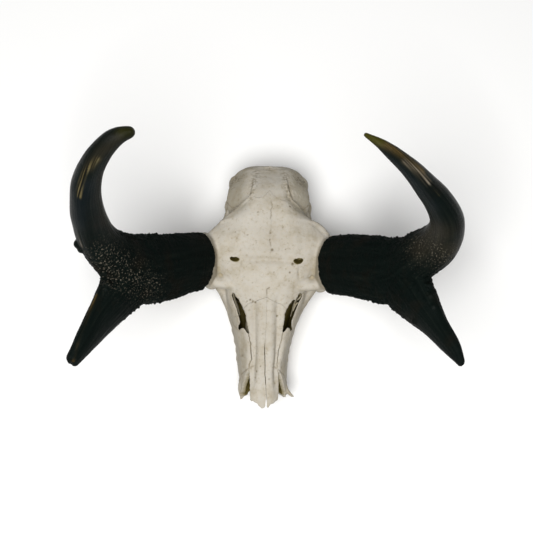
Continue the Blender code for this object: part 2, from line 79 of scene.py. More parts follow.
# The snout's half outline at each station: y, then (x, z) from the middle of the roof round to the middle of
# the palate
SNOUT = (
    (-140, (0, 68.4), (8, 67.8), (12.5, 64.8), (16.5, 58), (21.5, 46), (22.5, 30), (18, 29), (0, 34)),
    (-118, (0, 76.4), (8, 75.7), (12.5, 72.4), (17, 66), (21.8, 50), (22.6, 24), (17.5, 22), (0, 30)),
    (-100, (0, 83), (8, 82.3), (12.8, 79.2), (17.5, 73), (23, 56), (24.5, 18), (18, 16.5), (0, 27)),
    (-88, (0, 87.4), (8.5, 86.8), (13.3, 83.8), (18.5, 78), (24, 60), (25, 14), (16.5, 13), (0, 25)),
    (-75, (0, 92.1), (9, 91.4), (14.5, 88.6), (20.5, 82.6), (26, 66), (26.5, 13), (17, 12), (0, 24)),
    (-60, (0, 97.6), (10.5, 96.8), (17, 93.8), (25, 86.5), (29.5, 70), (30, 13), (18.5, 12), (0, 24)),
    (-45, (0, 103), (12.5, 102.2), (20, 98.8), (30, 90.5), (34, 74), (33, 13), (20.5, 12), (0, 24)),
    (-30, (0, 108.4), (15, 107.3), (25, 103.2), (35, 94), (38, 78), (34, 14), (21.5, 13), (0, 25)),
    (-18, (0, 112.3), (18, 111), (32, 106), (40, 95), (38, 78), (31, 20), (20, 18), (0, 34)),
    (-8, (0, 115), (18, 113), (30, 106), (33, 92), (28, 76), (25, 42), (17, 38), (0, 48)),
)

# The cranium's half outline: roof, edge of the roof, neck under it, bulge of the braincase, lower edge, base
CRANIUM = (
    (-28, (0, 109), (15, 107.5), (28, 101), (33, 88), (30, 72), (22, 54), (0, 48)),
    (-12, (0, 114.2), (26, 112), (44, 104), (33, 91), (26, 76), (20, 57), (0, 50)),
    (4, (0, 118), (30, 116), (50, 107), (30, 91), (24, 76), (18, 58), (0, 51)),
    (20, (0, 120.6), (30, 118.5), (62, 102.5), (31, 92), (27, 78), (20, 58), (0, 50)),
    (34, (0, 121.2), (26, 118.5), (49, 103.5), (33, 92), (33, 78), (24, 58), (0, 48)),
    (41, (0, 121), (23, 118.8), (42, 104.8), (33.5, 93), (35, 79), (26, 57.5), (0, 47)),
    (47, (0, 120.6), (19, 118.6), (33, 108), (34.5, 95), (38, 80), (29, 57), (0, 46)),
    (62, (0, 117), (12, 116), (19.5, 111), (34.5, 96), (41, 80), (31, 56), (0, 45)),
    (75, (0, 109.5), (13, 108.5), (21.5, 104), (34, 91), (39.5, 76), (32, 54), (0, 45)),
    (87, (0, 97.5), (15, 96.8), (24, 92), (31, 81), (36, 69), (30, 53), (0, 46)),
    (96, (0, 86.5), (15, 86), (23, 82), (28, 75), (30, 66), (24, 54), (0, 50)),
    (100, (0, 78), (11, 77.5), (18, 75), (22, 70), (23, 64), (17, 57), (0, 54)),
)

# Each horn's centre line from the root: (x, y, z), half thickness across the blade, half depth along it
HORN_BEAMS = {
    "right": (
        ((60.5, -3, 113), 15, 27), ((74, -9.8, 141), 14.5, 27.8), ((92, -19, 171), 14.5, 30),
        ((112, -25.5, 203), 15, 30), ((130, -19, 232), 15.5, 22), ((141, -9, 252), 15, 18),
        ((145.5, 4.5, 273), 14, 15.5), ((146, 16.5, 292), 12.5, 14), ((143, 27.5, 308), 11.5, 12.5),
        ((135.5, 38.5, 325), 10, 11), ((126, 48, 336), 8.5, 9), ((116, 54.5, 342), 6.8, 6.8),
        ((103, 58.5, 343.5), 3.6, 3.6),
    ),
    "left": (
        ((60.5, -3, 113), 15, 27), ((74, -7.5, 141), 14.5, 28), ((92, -14, 171), 14.5, 29),
        ((115, -21, 203), 15, 29), ((131, -12, 232), 15, 22.5), ((144, -3.5, 253), 15.5, 19),
        ((146, 8.5, 274), 14, 15.5), ((137.5, 20, 292), 12, 13), ((123.5, 30.5, 310), 9.8, 10.5),
        ((110.5, 39, 324.5), 7.8, 8.5), ((98.5, 46, 334.5), 6.2, 6.5), ((85.5, 53.5, 342), 4.2, 4.2),
        ((71, 61, 345.5), 1.8, 1.8),
    ),
}

HORN_PRONGS = {
    "right": (
        ((106, -15.5, 194), 9, 21.5), ((119, -38, 212), 13.5, 27.5), ((129, -57, 224), 12, 21.5),
        ((138.5, -76, 236), 8, 16), ((148, -96, 247), 6.5, 11), ((157.5, -114, 255), 4.4, 6),
    ),
    "left": (
        ((108, -12, 194), 9, 20), ((120, -33.5, 212), 13.5, 27), ((131, -52.5, 225), 12.5, 20.5),
        ((143.5, -73.5, 238), 8, 12.5), ((154.5, -91, 248), 6, 8.4), ((162, -106, 255.5), 2.6, 3),
    ),
}

# The upper cheek teeth: place along the row, distance from the middle, length, width, number of lobes
TEETH = (
    (-88, 20.5, 7.6, 6.4, 1), (-79.5, 21.2, 8.4, 7.8, 1), (-70.7, 22.4, 8.8, 9, 1),
    (-60, 24.2, 12, 10.4, 2), (-46.3, 26.6, 14.6, 11.4, 2), (-30.2, 27.8, 16.4, 11.4, 2),
)

# Meshes in millimetres

def new_object(name, mesh):
    made = bpy.data.objects.new(name, mesh)
    bpy.context.scene.collection.objects.link(made)
    return made


def object_from(name, bm):
    bmesh.ops.recalc_face_normals(bm, faces=bm.faces)
    mesh = bpy.data.meshes.new(name)
    bm.to_mesh(mesh)
    bm.free()
    return new_object(name, mesh)


def spline(knots, values, where):
    """Values on a smooth curve through the given ones, at the places asked for."""
    knots, values, where = (np.asarray(x, float) for x in (knots, values, where))
    slopes = np.gradient(values, knots, axis=0)
    low = np.clip(np.searchsorted(knots, where, side="right") - 1, 0, len(knots) - 2)
    span = (knots[low + 1] - knots[low])[:, None]
    t = (where - knots[low])[:, None] / span
    return (
        values[low] * (1 + 2 * t) * (1 - t) ** 2
        + values[low + 1] * t * t * (3 - 2 * t)
        + slopes[low] * span * t * (1 - t) ** 2
        - slopes[low + 1] * span * t * t * (1 - t)
    )


def tube(name, rings):
    """A closed body through rings of as many points each, with flat ends."""
    bm = bmesh.new()
    layers = [[bm.verts.new(point) for point in ring] for ring in rings]
    count = len(layers[0])
    for near, far in zip(layers, layers[1:]):
        for i in range(count):
            j = (i + 1) % count
            bm.faces.new((near[i], near[j], far[j], far[i]))
    bm.faces.new(layers[0])
    bm.faces.new(layers[-1])
    return object_from(name, bm)


def symmetric_body(name, stations, step=2, around=6):
    """A body through half outlines at stations along y, mirrored across the middle and smoothed both ways."""
    ys = [station[0] for station in stations]
    halves = np.array([station[1:] for station in stations], float)
    corners = halves.shape[1]
    places = np.linspace(ys[0], ys[-1], int((ys[-1] - ys[0]) / step) + 1)
    rows = spline(ys, halves.reshape(len(ys), -1), places).reshape(len(places), corners, 2)
    turns = np.linspace(0, corners - 1, (corners - 1) * around + 1)
    rings = []
    for y, row in zip(places, rows):
        half = spline(range(corners), row, turns)
        half[:, 0] = np.maximum(half[:, 0], 0)
        ring = [(x, y, z) for x, z in half]
        ring += [(-x, y, z) for x, z in half[-2:0:-1]]
        rings.append(ring)
    return tube(name, rings)


def limb_frames(path, thin, step):
    """Centres along a smooth path, with the directions across the blade and along it."""
    path = np.asarray(path, float)
    knots = np.arange(len(path))
    places = np.linspace(0, len(path) - 1, int((len(path) - 1) / step) + 1)
    centres = spline(knots, path, places)
    tangents = np.gradient(centres, axis=0)
    tangents /= np.linalg.norm(tangents, axis=1)[:, None]
    thin = np.asarray(thin, float)
    out = thin - tangents * (tangents @ thin)[:, None]
    out /= np.linalg.norm(out, axis=1)[:, None]
    across = np.cross(tangents, out)
    return places, centres, out, across


def limb(name, path, widths, depths=None, thin=(0, 0, 1), sides=24, step=0.2, round_end=0):
    """A rod along a smooth path. widths are half widths along the direction thin, depths across it."""
    depths = widths if depths is None else depths
    places, centres, out, across = limb_frames(path, thin, step)
    sizes = spline(np.arange(len(path)), np.column_stack([widths, depths]), places)
    if round_end:
        lengths = np.concatenate([[0], np.cumsum(np.linalg.norm(np.diff(centres, axis=0), axis=1))])
        left = np.clip((lengths[-1] - lengths) / round_end, 0, 1)
        sizes = sizes * np.maximum(np.sqrt(1 - (1 - left) ** 2), 0.12)[:, None]
    turns = np.linspace(0, 2 * math.pi, sides, endpoint=False)
    rings = (
        centres[:, None]
        + out[:, None] * sizes[:, 0, None, None] * np.cos(turns)[None, :, None]
        + across[:, None] * sizes[:, 1, None, None] * np.sin(turns)[None, :, None]
    )
    return tube(name, rings.tolist())


def egg(name, centre, radii, tilt=(0, 0, 0)):
    bm = bmesh.new()
    bmesh.ops.create_uvsphere(bm, u_segments=32, v_segments=20, radius=1)
    turn = Matrix.Translation(centre)
    for axis, degrees in zip("XYZ", tilt):
        turn = turn @ Matrix.Rotation(math.radians(degrees), 4, axis)
    bmesh.ops.transform(bm, matrix=turn @ Matrix.Diagonal((*radii, 1)), verts=bm.verts)
    return object_from(name, bm)


def apply_modifiers(obj):
    bpy.context.view_layer.update()
    graph = bpy.context.evaluated_depsgraph_get()
    mesh = bpy.data.meshes.new_from_object(obj.evaluated_get(graph))
    obj.modifiers.clear()
    old, obj.data = obj.data, mesh
    bpy.data.meshes.remove(old)
    return obj


def joined(name, pieces):
    """The pieces as one object of separate closed shells."""
    bm = bmesh.new()
    for piece in pieces:
        bm.from_mesh(piece.data)
        bpy.data.objects.remove(piece)
    mesh = bpy.data.meshes.new(name)
    bm.to_mesh(mesh)
    bm.free()
    return new_object(name, mesh)


def fuse(name, pieces, voxel, smooth):
    """The pieces melted into one closed surface and smoothed."""
    body = joined(name, pieces)
    remesh = body.modifiers.new("melt", "REMESH")
    remesh.mode = "VOXEL"
    remesh.voxel_size = voxel
    if smooth:
        soften = body.modifiers.new("soften", "SMOOTH")
        soften.iterations = smooth
        soften.factor = 0.5
    return apply_modifiers(body)


def boolean(body, tools, operation):
    for tool in tools:
        step = body.modifiers.new("step", "BOOLEAN")
        step.operation = operation
        step.object = tool
        step.solver = "MANIFOLD"
        apply_modifiers(body)
        bpy.data.objects.remove(tool)
    return body


def vertices(obj):
    points = np.empty(len(obj.data.vertices) * 3)
    obj.data.vertices.foreach_get("co", points)
    return points.reshape(-1, 3)


def set_vertices(obj, points):
    obj.data.vertices.foreach_set("co", points.ravel())
    obj.data.update()


def normals(obj):
    out = np.empty(len(obj.data.vertices) * 3)
    obj.data.vertices.foreach_get("normal", out)
    return out.reshape(-1, 3)


def edge_pairs(obj):
    pairs = np.empty(len(obj.data.edges) * 2, np.int64)
    obj.data.edges.foreach_get("vertices", pairs)
    return pairs.reshape(-1, 2)


def largest_shell(body):
    """Drops every closed surface but the largest."""
    pairs = edge_pairs(body)
    label = np.arange(len(body.data.vertices))
    while True:
        low = np.minimum(label[pairs[:, 0]], label[pairs[:, 1]])
        before = label.copy()
        np.minimum.at(label, pairs[:, 0], low)
        np.minimum.at(label, pairs[:, 1], low)
        label = label[label]
        if (label == before).all():
            break
    names, counts = np.unique(label, return_counts=True)
    if len(names) > 1:
        drop = label != names[counts.argmax()]
        bm = bmesh.new()
        bm.from_mesh(body.data)
        bm.verts.ensure_lookup_table()
        bmesh.ops.delete(bm, geom=[bm.verts[i] for i in np.nonzero(drop)[0]], context="VERTS")
        bm.to_mesh(body.data)
        bm.free()
    return body


def mirrored(point, side):
    return (point[0] * side, point[1], point[2])


def copy_of(body, name):
    return new_object(name, body.data.copy())


def smooth_step(low, high, value):
    t = np.clip((np.asarray(value, float) - low) / (high - low), 0, 1)
    return t * t * (3 - 2 * t)


def hill(distance, width):
    """1 where the distance is 0, falling away on both sides over the width."""
    return np.exp(-((distance / width) ** 2))


def noise_at(points, scale, octaves=3, seed=0.0):
    """Smooth noise, about -1 to 1, at each point, with features about as wide as scale."""
    offset = Vector((seed * 17.3, seed * 5.1, seed * 9.7))
    flat = points / scale
    return np.array([noise.fractal(Vector(p) + offset, 1.0, 2.0, octaves) for p in flat.tolist()])


# The skull's masses and openings

def orbit_axis(side):
    return Vector(mirrored(ORBIT_AXIS, side)).normalized()


def eye_socket_mass(side):
    """The bony tube that carries the orbit's rim."""
    centre, axis = Vector(mirrored(ORBIT_CENTRE, side)), orbit_axis(side)
    outer = ORBIT_RADIUS + ORBIT_RIM
    depths = (-38, -24, -12, -3, 1)
    radii = (15, 18.5, 21.5, outer - 0.5, outer - 1.5)
    return limb("socket", [centre + axis * d for d in depths], radii, sides=64)


def eye_socket_pit(side):
    """The orbit's hollow, which narrows inwards and back to the optic canal."""
    centre, axis = Vector(mirrored(ORBIT_CENTRE, side)), orbit_axis(side)
    depths = (-34, -28, -18, -8, 0, 8)
    radii = (4, 10, 16, 19.5, ORBIT_RADIUS, ORBIT_RADIUS + 0.5)
    back = (9, 5, 2, 0, 0, 0)
    path = [centre + axis * d + Vector((0, b, 0)) for d, b in zip(depths, back)]
    return limb("pit", path, radii, sides=64)


def pedicle(side):
    """The bony stump above the orbit that carries the horn."""
    root, rise = Vector(mirrored(HORN_ROOT, side)), Vector(mirrored(HORN_AXIS, side)).normalized()
    foot = Vector(mirrored((46, 2, 90), side))
    half_thickness, half_depth = HORN_BASE_THICKNESS / 2 - PEDICLE_INSET, HORN_BASE_DEPTH / 2 - PEDICLE_INSET
    return limb(
        "pedicle", [foot, root - rise * 9, root + rise * 4],
        (10, half_thickness, half_thickness), (22, half_depth, half_depth), thin=(side, 0, 0), sides=48,
    )


def side_masses(side):
    """The masses of one side: socket, pedicle, cheek, arch, ear region, condyle and process."""
    def at(*point):
        return mirrored(point, side)

    yield eye_socket_mass(side)
    yield pedicle(side)
    yield limb(
        "cheek",
        [at(22, -66, 46), at(27.5, -46, 52), at(35.5, -28, 60), at(47.5, -10, 62), at(58, 8, 61),
         at(60.5, 20, 64)],
        (7, 9, 11, 9, 5, 5), (7, 8, 9, 8, 5, 5),
    )
    yield limb(
        "arch", [at(60, 16, 64), at(53.5, 30, 62.5), at(42.5, 46, 61), at(38.5, 60, 60), at(35, 70, 60)],
        (6.5, 5.5, 5, 5.5, 8), (4, 3, 3, 3.5, 5),
    )
    yield limb(
        "postorbital", [at(56, 20, 101), at(61.5, 25, 89), at(62.5, 24, 76), at(60.5, 18, 65)],
        (6, 4.5, 4.5, 5), (6, 4.5, 4.5, 5), thin=(1, 0, 0),
    )
    yield egg("glenoid", at(35, 62, 58), (9, 11, 7))
    yield egg("bulla", at(19.5, 67, 41), (7.5, 13, 12), (20, 0, 0))
    yield limb("ear_canal", [at(24, 72, 50), at(31, 75, 54), at(36, 77, 57)], (6.5, 5.2, 4.6))
    yield egg("mastoid", at(33, 83.5, 62), (6.8, 7.5, 13), (-20, 0, 0))
    yield egg("condyle", at(12.5, 96.4, 53), (8.5, 7.6, 12), (-25, 0, 0))
    yield limb(
        "process", [at(24, 86, 56), at(25, 87, 38), at(25.5, 87, 22), at(25.5, 85, 6), at(25.5, 84, -3)],
        (6, 4.6, 4, 3.6, 3.2), (9, 8, 6.5, 5, 4), thin=(1, 0, 0),
    )
    yield limb(
        "pterygoid", [at(12, -26, 38), at(11, -6, 38), at(11, 12, 41), at(13, 28, 50)],
        (8, 10, 9, 5), (3, 2.5, 2.3, 3),
    )
    yield egg("lacrimal", at(52.5, -21.5, 93), (7, 6, 7))
    yield limb("brow", [at(30, -22, 99), at(42, -21, 97.5), at(54, -19, 97.5)], (6, 6.5, 7), (6, 6, 6))
    if side > 0:
        yield limb("shoulder", [at(42, 39, 102), at(49, 33.5, 101), at(57, 25, 100)], (3.5, 5, 5), (3.5, 5, 5))
    yield limb(
        "front_tip", [at(20.5, -104, 47), at(23, -118, 44), at(31, -127, 43) if side > 0 else at(21, -128, 41)],
        (6, 5, 3.5), (2.8, 2, 1.4),
    )
    yield limb(
        "crest", [at(0, 95, 86), at(13, 93.2, 84.5), at(24, 89, 80), at(31.5, 83, 71), at(35, 80, 60)],
        (2.5, 2.5, 2.5, 3, 4), (3.5, 3.5, 3.5, 3.5, 4),
    )


def skull_masses():
    yield symmetric_body("snout", SNOUT)
    yield symmetric_body("cranium", CRANIUM)
    yield limb(
        "skull_base", [(0, -8, 50), (0, 25, 47), (0, 60, 44), (0, 85, 44), (0, 99, 46)],
        (8, 7, 6, 6, 5), (12, 12, 12, 13, 11),
    )
    for side in SIDES.values():
        yield from side_masses(side)


def nasal_cavity():
    """The hollow of the snout, a wall's thickness inside it, open at the front."""
    stations = []
    for y, *outline in SNOUT[:8]:
        inner = [(max(0, x - BONE_WALL), z - BONE_WALL) for x, z in outline[:5]]
        palate = outline[-1][1] + 5
        wall = outline[4][0] - BONE_WALL
        inner += [(wall * 0.8, palate + 2), (wall * 0.5, palate), (0, palate)]
        stations.append((y - 8 if y < -130 else y, *inner))
    return symmetric_body("cavity", stations)


def ragged_prism(name, outline, low, high, frame_of, seed, amount=0.5):
    """A prism on a plan outline whose edges wander a little, as broken or worn bone does."""
    points = []
    count = len(outline)
    for i in range(count):
        a, b = np.array(outline[i], float), np.array(outline[(i + 1) % count], float)
        length = np.linalg.norm(b - a)
        steps = max(1, int(length / 0.8))
        way = (b - a) / max(length, 1e-6)
        for k in range(steps):
            t = k / steps
            p = a + (b - a) * t
            wander = noise.fractal(Vector((p[0] / 3.1 + seed, p[1] / 3.1, seed * 3)), 1.0, 2.0, 3)
            wander *= amount * min(1, 4 * t * (1 - t) * 3)
            points.append((p[0] - way[1] * wander, p[1] + way[0] * wander))
    return tube(name, [[frame_of(u, v, h) for u, v in points] for h in (low, high)])


# The face's window on each side as its rim on the bone, with x out from the middle. The two differ.
WINDOWS = {
    "right": (
        (31.5, -29.4, 97), (32.2, -33.4, 95.8), (28.8, -41.8, 93.9), (26.6, -48.9, 92.1), (24.4, -57.2, 88),
        (25.9, -60.5, 85), (25.2, -66.8, 82), (23.7, -63.4, 83), (21.5, -62.6, 86), (19, -65.5, 89),
        (15.1, -71.2, 90), (16.7, -62.6, 92.8), (18.3, -56.1, 94.6), (18.7, -51.5, 96.6),
        (20.1, -47.5, 97.4), (23.2, -41, 97), (25.6, -36.4, 97), (29, -33.6, 97), (29.6, -31, 97.5),
    ),
    "left": (
        (32.4, -28.6, 97.8), (35.2, -29.8, 93.8), (34.5, -32.9, 92.7), (32.3, -37.4, 92.5), (30.6, -41.5, 92),
        (28, -48.1, 90.8), (25.3, -55.2, 89.3), (25.2, -58.6, 87), (26.6, -62.4, 82), (24.8, -65.4, 83),
        (23.4, -62.2, 85), (21.3, -61.4, 87), (19.2, -64.6, 88.6), (15.9, -67.6, 90.9), (17.8, -57, 94.6),
        (18.8, -49.1, 97.6), (20.7, -44.8, 98.4), (23, -40.5, 97.5), (25.4, -37.2, 97), (27.2, -34.6, 97),
        (28.4, -36, 96), (29.6, -34, 96), (30.8, -32.5, 96),
    ),
}


def face_window(label, side):
    """The gap between the nasal bone, the frontal and the cheek, with the ragged edge of thin bone."""
    rings = []
    rim = WINDOWS[label]
    for lift in (-10, 16):
        ring = []
        for i, point in enumerate(rim):
            a, b = np.array(point, float), np.array(rim[(i + 1) % len(rim)], float)
            length = np.linalg.norm((b - a)[:2])
            steps = max(1, int(length / WINDOW_STEP))
            way = (b - a)[:2] / max(length, 0.1)
            for k in range(steps):
                x, y, z = a + (b - a) * (k / steps)
                wander = WINDOW_WANDER * noise.fractal(Vector((x / 1.6 + side, y / 1.6, side * 3)), 1.0, 2.0, 3)
                x, y = x - way[1] * wander, y + way[0] * wander
                ring.append((side * (x - 0.02 * lift), y - 0.118 * lift, z + lift))
        rings.append(ring)
    return tube("window", rings)


def front_edge(label, side):
    """Cuts the snout's side wall back to its broken edge, from the nasal bone down to the lower tip."""
    outline = {
        "left": ((-90, 92), (-97, 84), (-100.5, 79), (-105, 71), (-112, 63), (-118, 54), (-121, 49),
                 (-125.5, 45), (-125.5, 40), (-127.5, 34), (-127, 28), (-128, 20), (-160, 20), (-160, 92)),
        "right": ((-90, 92), (-97, 85), (-101, 78.5), (-105.5, 72), (-113, 63), (-116.5, 57),
                  (-122.5, 50), (-124, 43), (-128.5, 38), (-128, 32), (-129.5, 26), (-129, 20),
                  (-160, 20), (-160, 92)),
    }[label]
    return ragged_prism(
        "front_edge", outline, 7, 40, lambda y, z, x: (side * x, y, z), side * 2 + 7, 0.8,
    )


def nasal_ends():
    """Cuts the two nasal bones to their ragged ends."""
    ring = [(-24, -160), (-24, -130), (-15, -130.5), (-12.6, -130), (-11.5, -132.3), (-9.5, -131.6),
            (-7.8, -133.4), (-5.5, -134), (-4, -136.6), (-1, -139.3), (1.4, -138.6), (2.6, -136.5),
            (3, -133.5), (3.5, -136.5), (4.8, -138.4), (6.4, -136.6), (8, -134.2), (10.4, -133.6),
            (12.2, -131.6), (14, -130.9), (15.4, -127.4), (18, -127), (24, -126), (24, -160)]
    return ragged_prism("nasal_ends", ring, 58, 84, lambda x, y, z: (x, y, z), 4.4, 0.45)


def palate_front():
    """Cuts the palate back between the two lower tips."""
    ring = [(-30, -150), (-26, -130.5), (-21, -128.5), (-19, -125), (-16, -124.5), (-14, -120.5),
            (-11, -119.5), (-6, -113), (1, -115), (5, -113), (10, -117.5), (12, -121.5), (15, -121),
            (20, -125), (26, -126.5), (30, -150)]
    return ragged_prism("palate_front", ring, 10, 52, lambda x, y, z: (x, y, z), 6.1, 0.7)


def brow_hole(side):
    """The supraorbital foramen, which slants forwards and inwards: flat along its top edge and round below."""
    half_width, tall = 4.5, 2.5 if side < 0 else 3.2
    rings = []
    for (x, y, z), grow in (((29.6, -6, 126), 1), ((30.3, 0.8, 114), 1), ((31.2, 6, 101), 0.8)):
        ring = []
        for t in np.linspace(0, 2 * math.pi, 40, endpoint=False):
            flat = 0.45 if math.sin(t) > 0 else 1.25
            across, along = half_width * grow * math.cos(t), tall * grow * flat * math.sin(t)
            ring.append(mirrored((x + across, y + along, z), side))
        rings.append(ring)
    return tube("brow_hole", rings)


def plane_block(point, normal, size=400):
    bm = bmesh.new()
    bmesh.ops.create_cube(bm, size=size)
    turn = Vector(normal).to_track_quat("Z", "Y").to_matrix().to_4x4()
    lift = Matrix.Translation(Vector(point) + Vector(normal).normalized() * size / 2)
    bmesh.ops.transform(bm, matrix=lift @ turn, verts=bm.verts)
    return object_from("block", bm)


def skull_openings():
    yield nasal_cavity()
    yield nasal_ends()
    yield palate_front()
    yield limb("choana", [(0, 12, 34), (0, -8, 40), (0, -28, 50), (0, -45, 56)], (5, 7, 9, 10), (7, 8, 9, 10))
    yield limb("foramen_magnum", [(0, 112, 58), (0, 99, 60), (0, 82, 66)], (8.5, 8.5, 7), (8.5, 8.5, 7))
    for label, side in SIDES.items():
        yield eye_socket_pit(side)
        yield face_window(label, side)
        yield brow_hole(side)
        yield limb(
            "face_hole", [mirrored(p, side) for p in ((32, -98, 46), (25, -88, 47), (20, -78, 48))],
            (2.6, 2.4, 1.8), sides=24,
        )
        yield limb(
            "ear_hole", [mirrored(p, side) for p in ((42, 80, 60), (35, 77, 57), (28, 73, 53))],
            (2.8, 2.8, 2.4), sides=24,
        )


def whole_skull():
    body = fuse("skull", list(skull_masses()), SKULL_VOXEL, MELT_PASSES)
    boolean(body, [plane_block(*horn_root(side), HORN_CUT) for side in SIDES.values()], "DIFFERENCE")
    body = fuse("skull", [body, *(horn_core(side) for side in SIDES.values())], SKULL_VOXEL, CORE_PASSES)
    boolean(body, skull_openings(), "DIFFERENCE")
    body = largest_shell(fuse("skull", [body], FINE_VOXEL, LAST_PASSES))
    shape_surface(body)
    return boolean(body, [plane_block((0, 0, 0), (0, 0, -1))], "DIFFERENCE")


def horn_root(side):
    return Vector(mirrored(HORN_ROOT, side)), Vector(mirrored(HORN_AXIS, side)).normalized()


def horn_core(side, grow=0.0, low=-6, high=9):
    """The bony core that the sheath sits on, or with grow the hollow that it leaves in the sheath."""
    root, rise = horn_root(side)
    half_thickness = HORN_BASE_THICKNESS / 2 - CORE_INSET + grow
    half_depth = HORN_BASE_DEPTH / 2 - CORE_INSET + grow
    return limb(
        "core", [root + rise * low, root + rise * (low + high) / 2, root + rise * high],
        (half_thickness, half_thickness, half_thickness - CORE_TAPER),
        (half_depth, half_depth, half_depth - CORE_TAPER),
        thin=(side, 0, 0), sides=72,
    )


TEMPORAL_LINES = (
    ((-43.4, 37.3), (-39.5, 41.5), (-35.3, 44.6), (-26.9, 52.1), (-17, 60.6), (-14.8, 67.5), (-14, 75.7),
    (-12.7, 89.6)),
    ((44, 39.5), (39.5, 44), (35.1, 48.6), (28.9, 54.6), (22.1, 59.9), (19.3, 67.2), (17.3, 76.1),
    (14.7, 89.4)),
)
RIDGES = (((-44.5, 36.6), (-35.9, 38.8), (-27.5, 39.6)), ((44.5, 38.6), (37.6, 39.9), (27.7, 40.4)))
SAGITTAL = ((3.4, 58), (3.6, 49.7), (2.7, 42.7), (3.6, 36.9), (2.9, 28.2), (2.7, 21.5), (2.9, 14), (4.6, 9.4))
GROOVES = (((-24.3, -1.5), (-24, -7.5)), ((31, -5.2), (30.7, -11.6), (31.4, -18)), ((25.3, -2.9), (25, -4.6)))
NASION_SUTURE = ((3.4, -26.3), (1.1, -27.8), (1.3, -33.2), (1.6, -34.9))
PITS = (
    (21.3, 52, 0.8), (22.4, -11.6, 0.8), (11.8, -52.7, 0.8), (-8, -104.3, 0.9), (-9.7, -110.2, 0.7),
    (4.6, -110.8, 0.6), (7.4, -11.8, 0.5), (5.1, 8.7, 1.2), (-14.7, -37.9, 0.9), (-9.9, -40.6, 0.8),
    (-12.2, -39.6, 0.7), (-17.6, -39, 0.6), (-20.8, -88.6, 1.1), (2.7, 18.2, 0.6), (3.1, 24.6, 0.7),
    (25.2, -3.7, 1.1), (-4.2, -99, 0.6), (8.6, -97, 0.5), (14.6, 30, 0.5), (-18.6, 22, 0.5),
    (-9.4, 44.6, 0.6), (9.2, 51.6, 0.5), (-30.4, 25, 0.5), (17.8, 9.6, 0.5),
)


# Faint sutures and vessel grooves on the sides, as (y, z)
SIDE_LINES = (
    ((-99, 82), (-103, 72), (-106, 60), (-112, 48), (-117, 38)),
    ((-64, 81), (-58, 73), (-52, 70), (-45, 63), (-36, 62), (-28, 66)),
    ((-58, 73), (-50, 77), (-40, 78), (-31, 74)),
    ((58, 64), (63, 74), (60, 86), (52, 96)),
    ((66, 72), (74, 80), (80, 84)),
)
# Rough places where the neck muscles held on, as (x, y, z, size)
SCARS = ((-35, 83, 76, 9), (29.5, 84, 87, 7), (33, 82, 76, 8), (-27, 82, 88, 6), (0, 94, 86, 5))
# Small openings of vessels and nerves, as (x out from the middle, y, z, radius)
SIDE_PITS = (
    (53, -22, 86, 1.5), (54, -22, 79, 1.3), (30, -60, 56, 0.8), (26, -74, 60, 0.7), (34, -40, 50, 0.8),
    (36, 66, 84, 0.9), (35, 74, 90, 0.8), (39, 60, 76, 0.8), (12, 101, 66, 1.2), (16, 94, 80, 0.9),
    (24, -98, 40, 0.7), (33, 81, 88, 0.7),
)


def off_line(x, y, line):
    """How far each point is from a line of points, in plan, and the share along it of the nearest place."""
    best, share = np.full(len(x), 1e9), np.zeros(len(x))
    count = len(line) - 1
    for i, ((ax, ay), (bx, by)) in enumerate(zip(line, line[1:])):
        dx, dy = bx - ax, by - ay
        t = np.clip(((x - ax) * dx + (y - ay) * dy) / (dx * dx + dy * dy), 0, 1)
        d = np.hypot(x - ax - t * dx, y - ay - t * dy)
        near = d < best
        best[near] = d[near]
        share[near] = ((i + t) / count)[near]
    return best, share


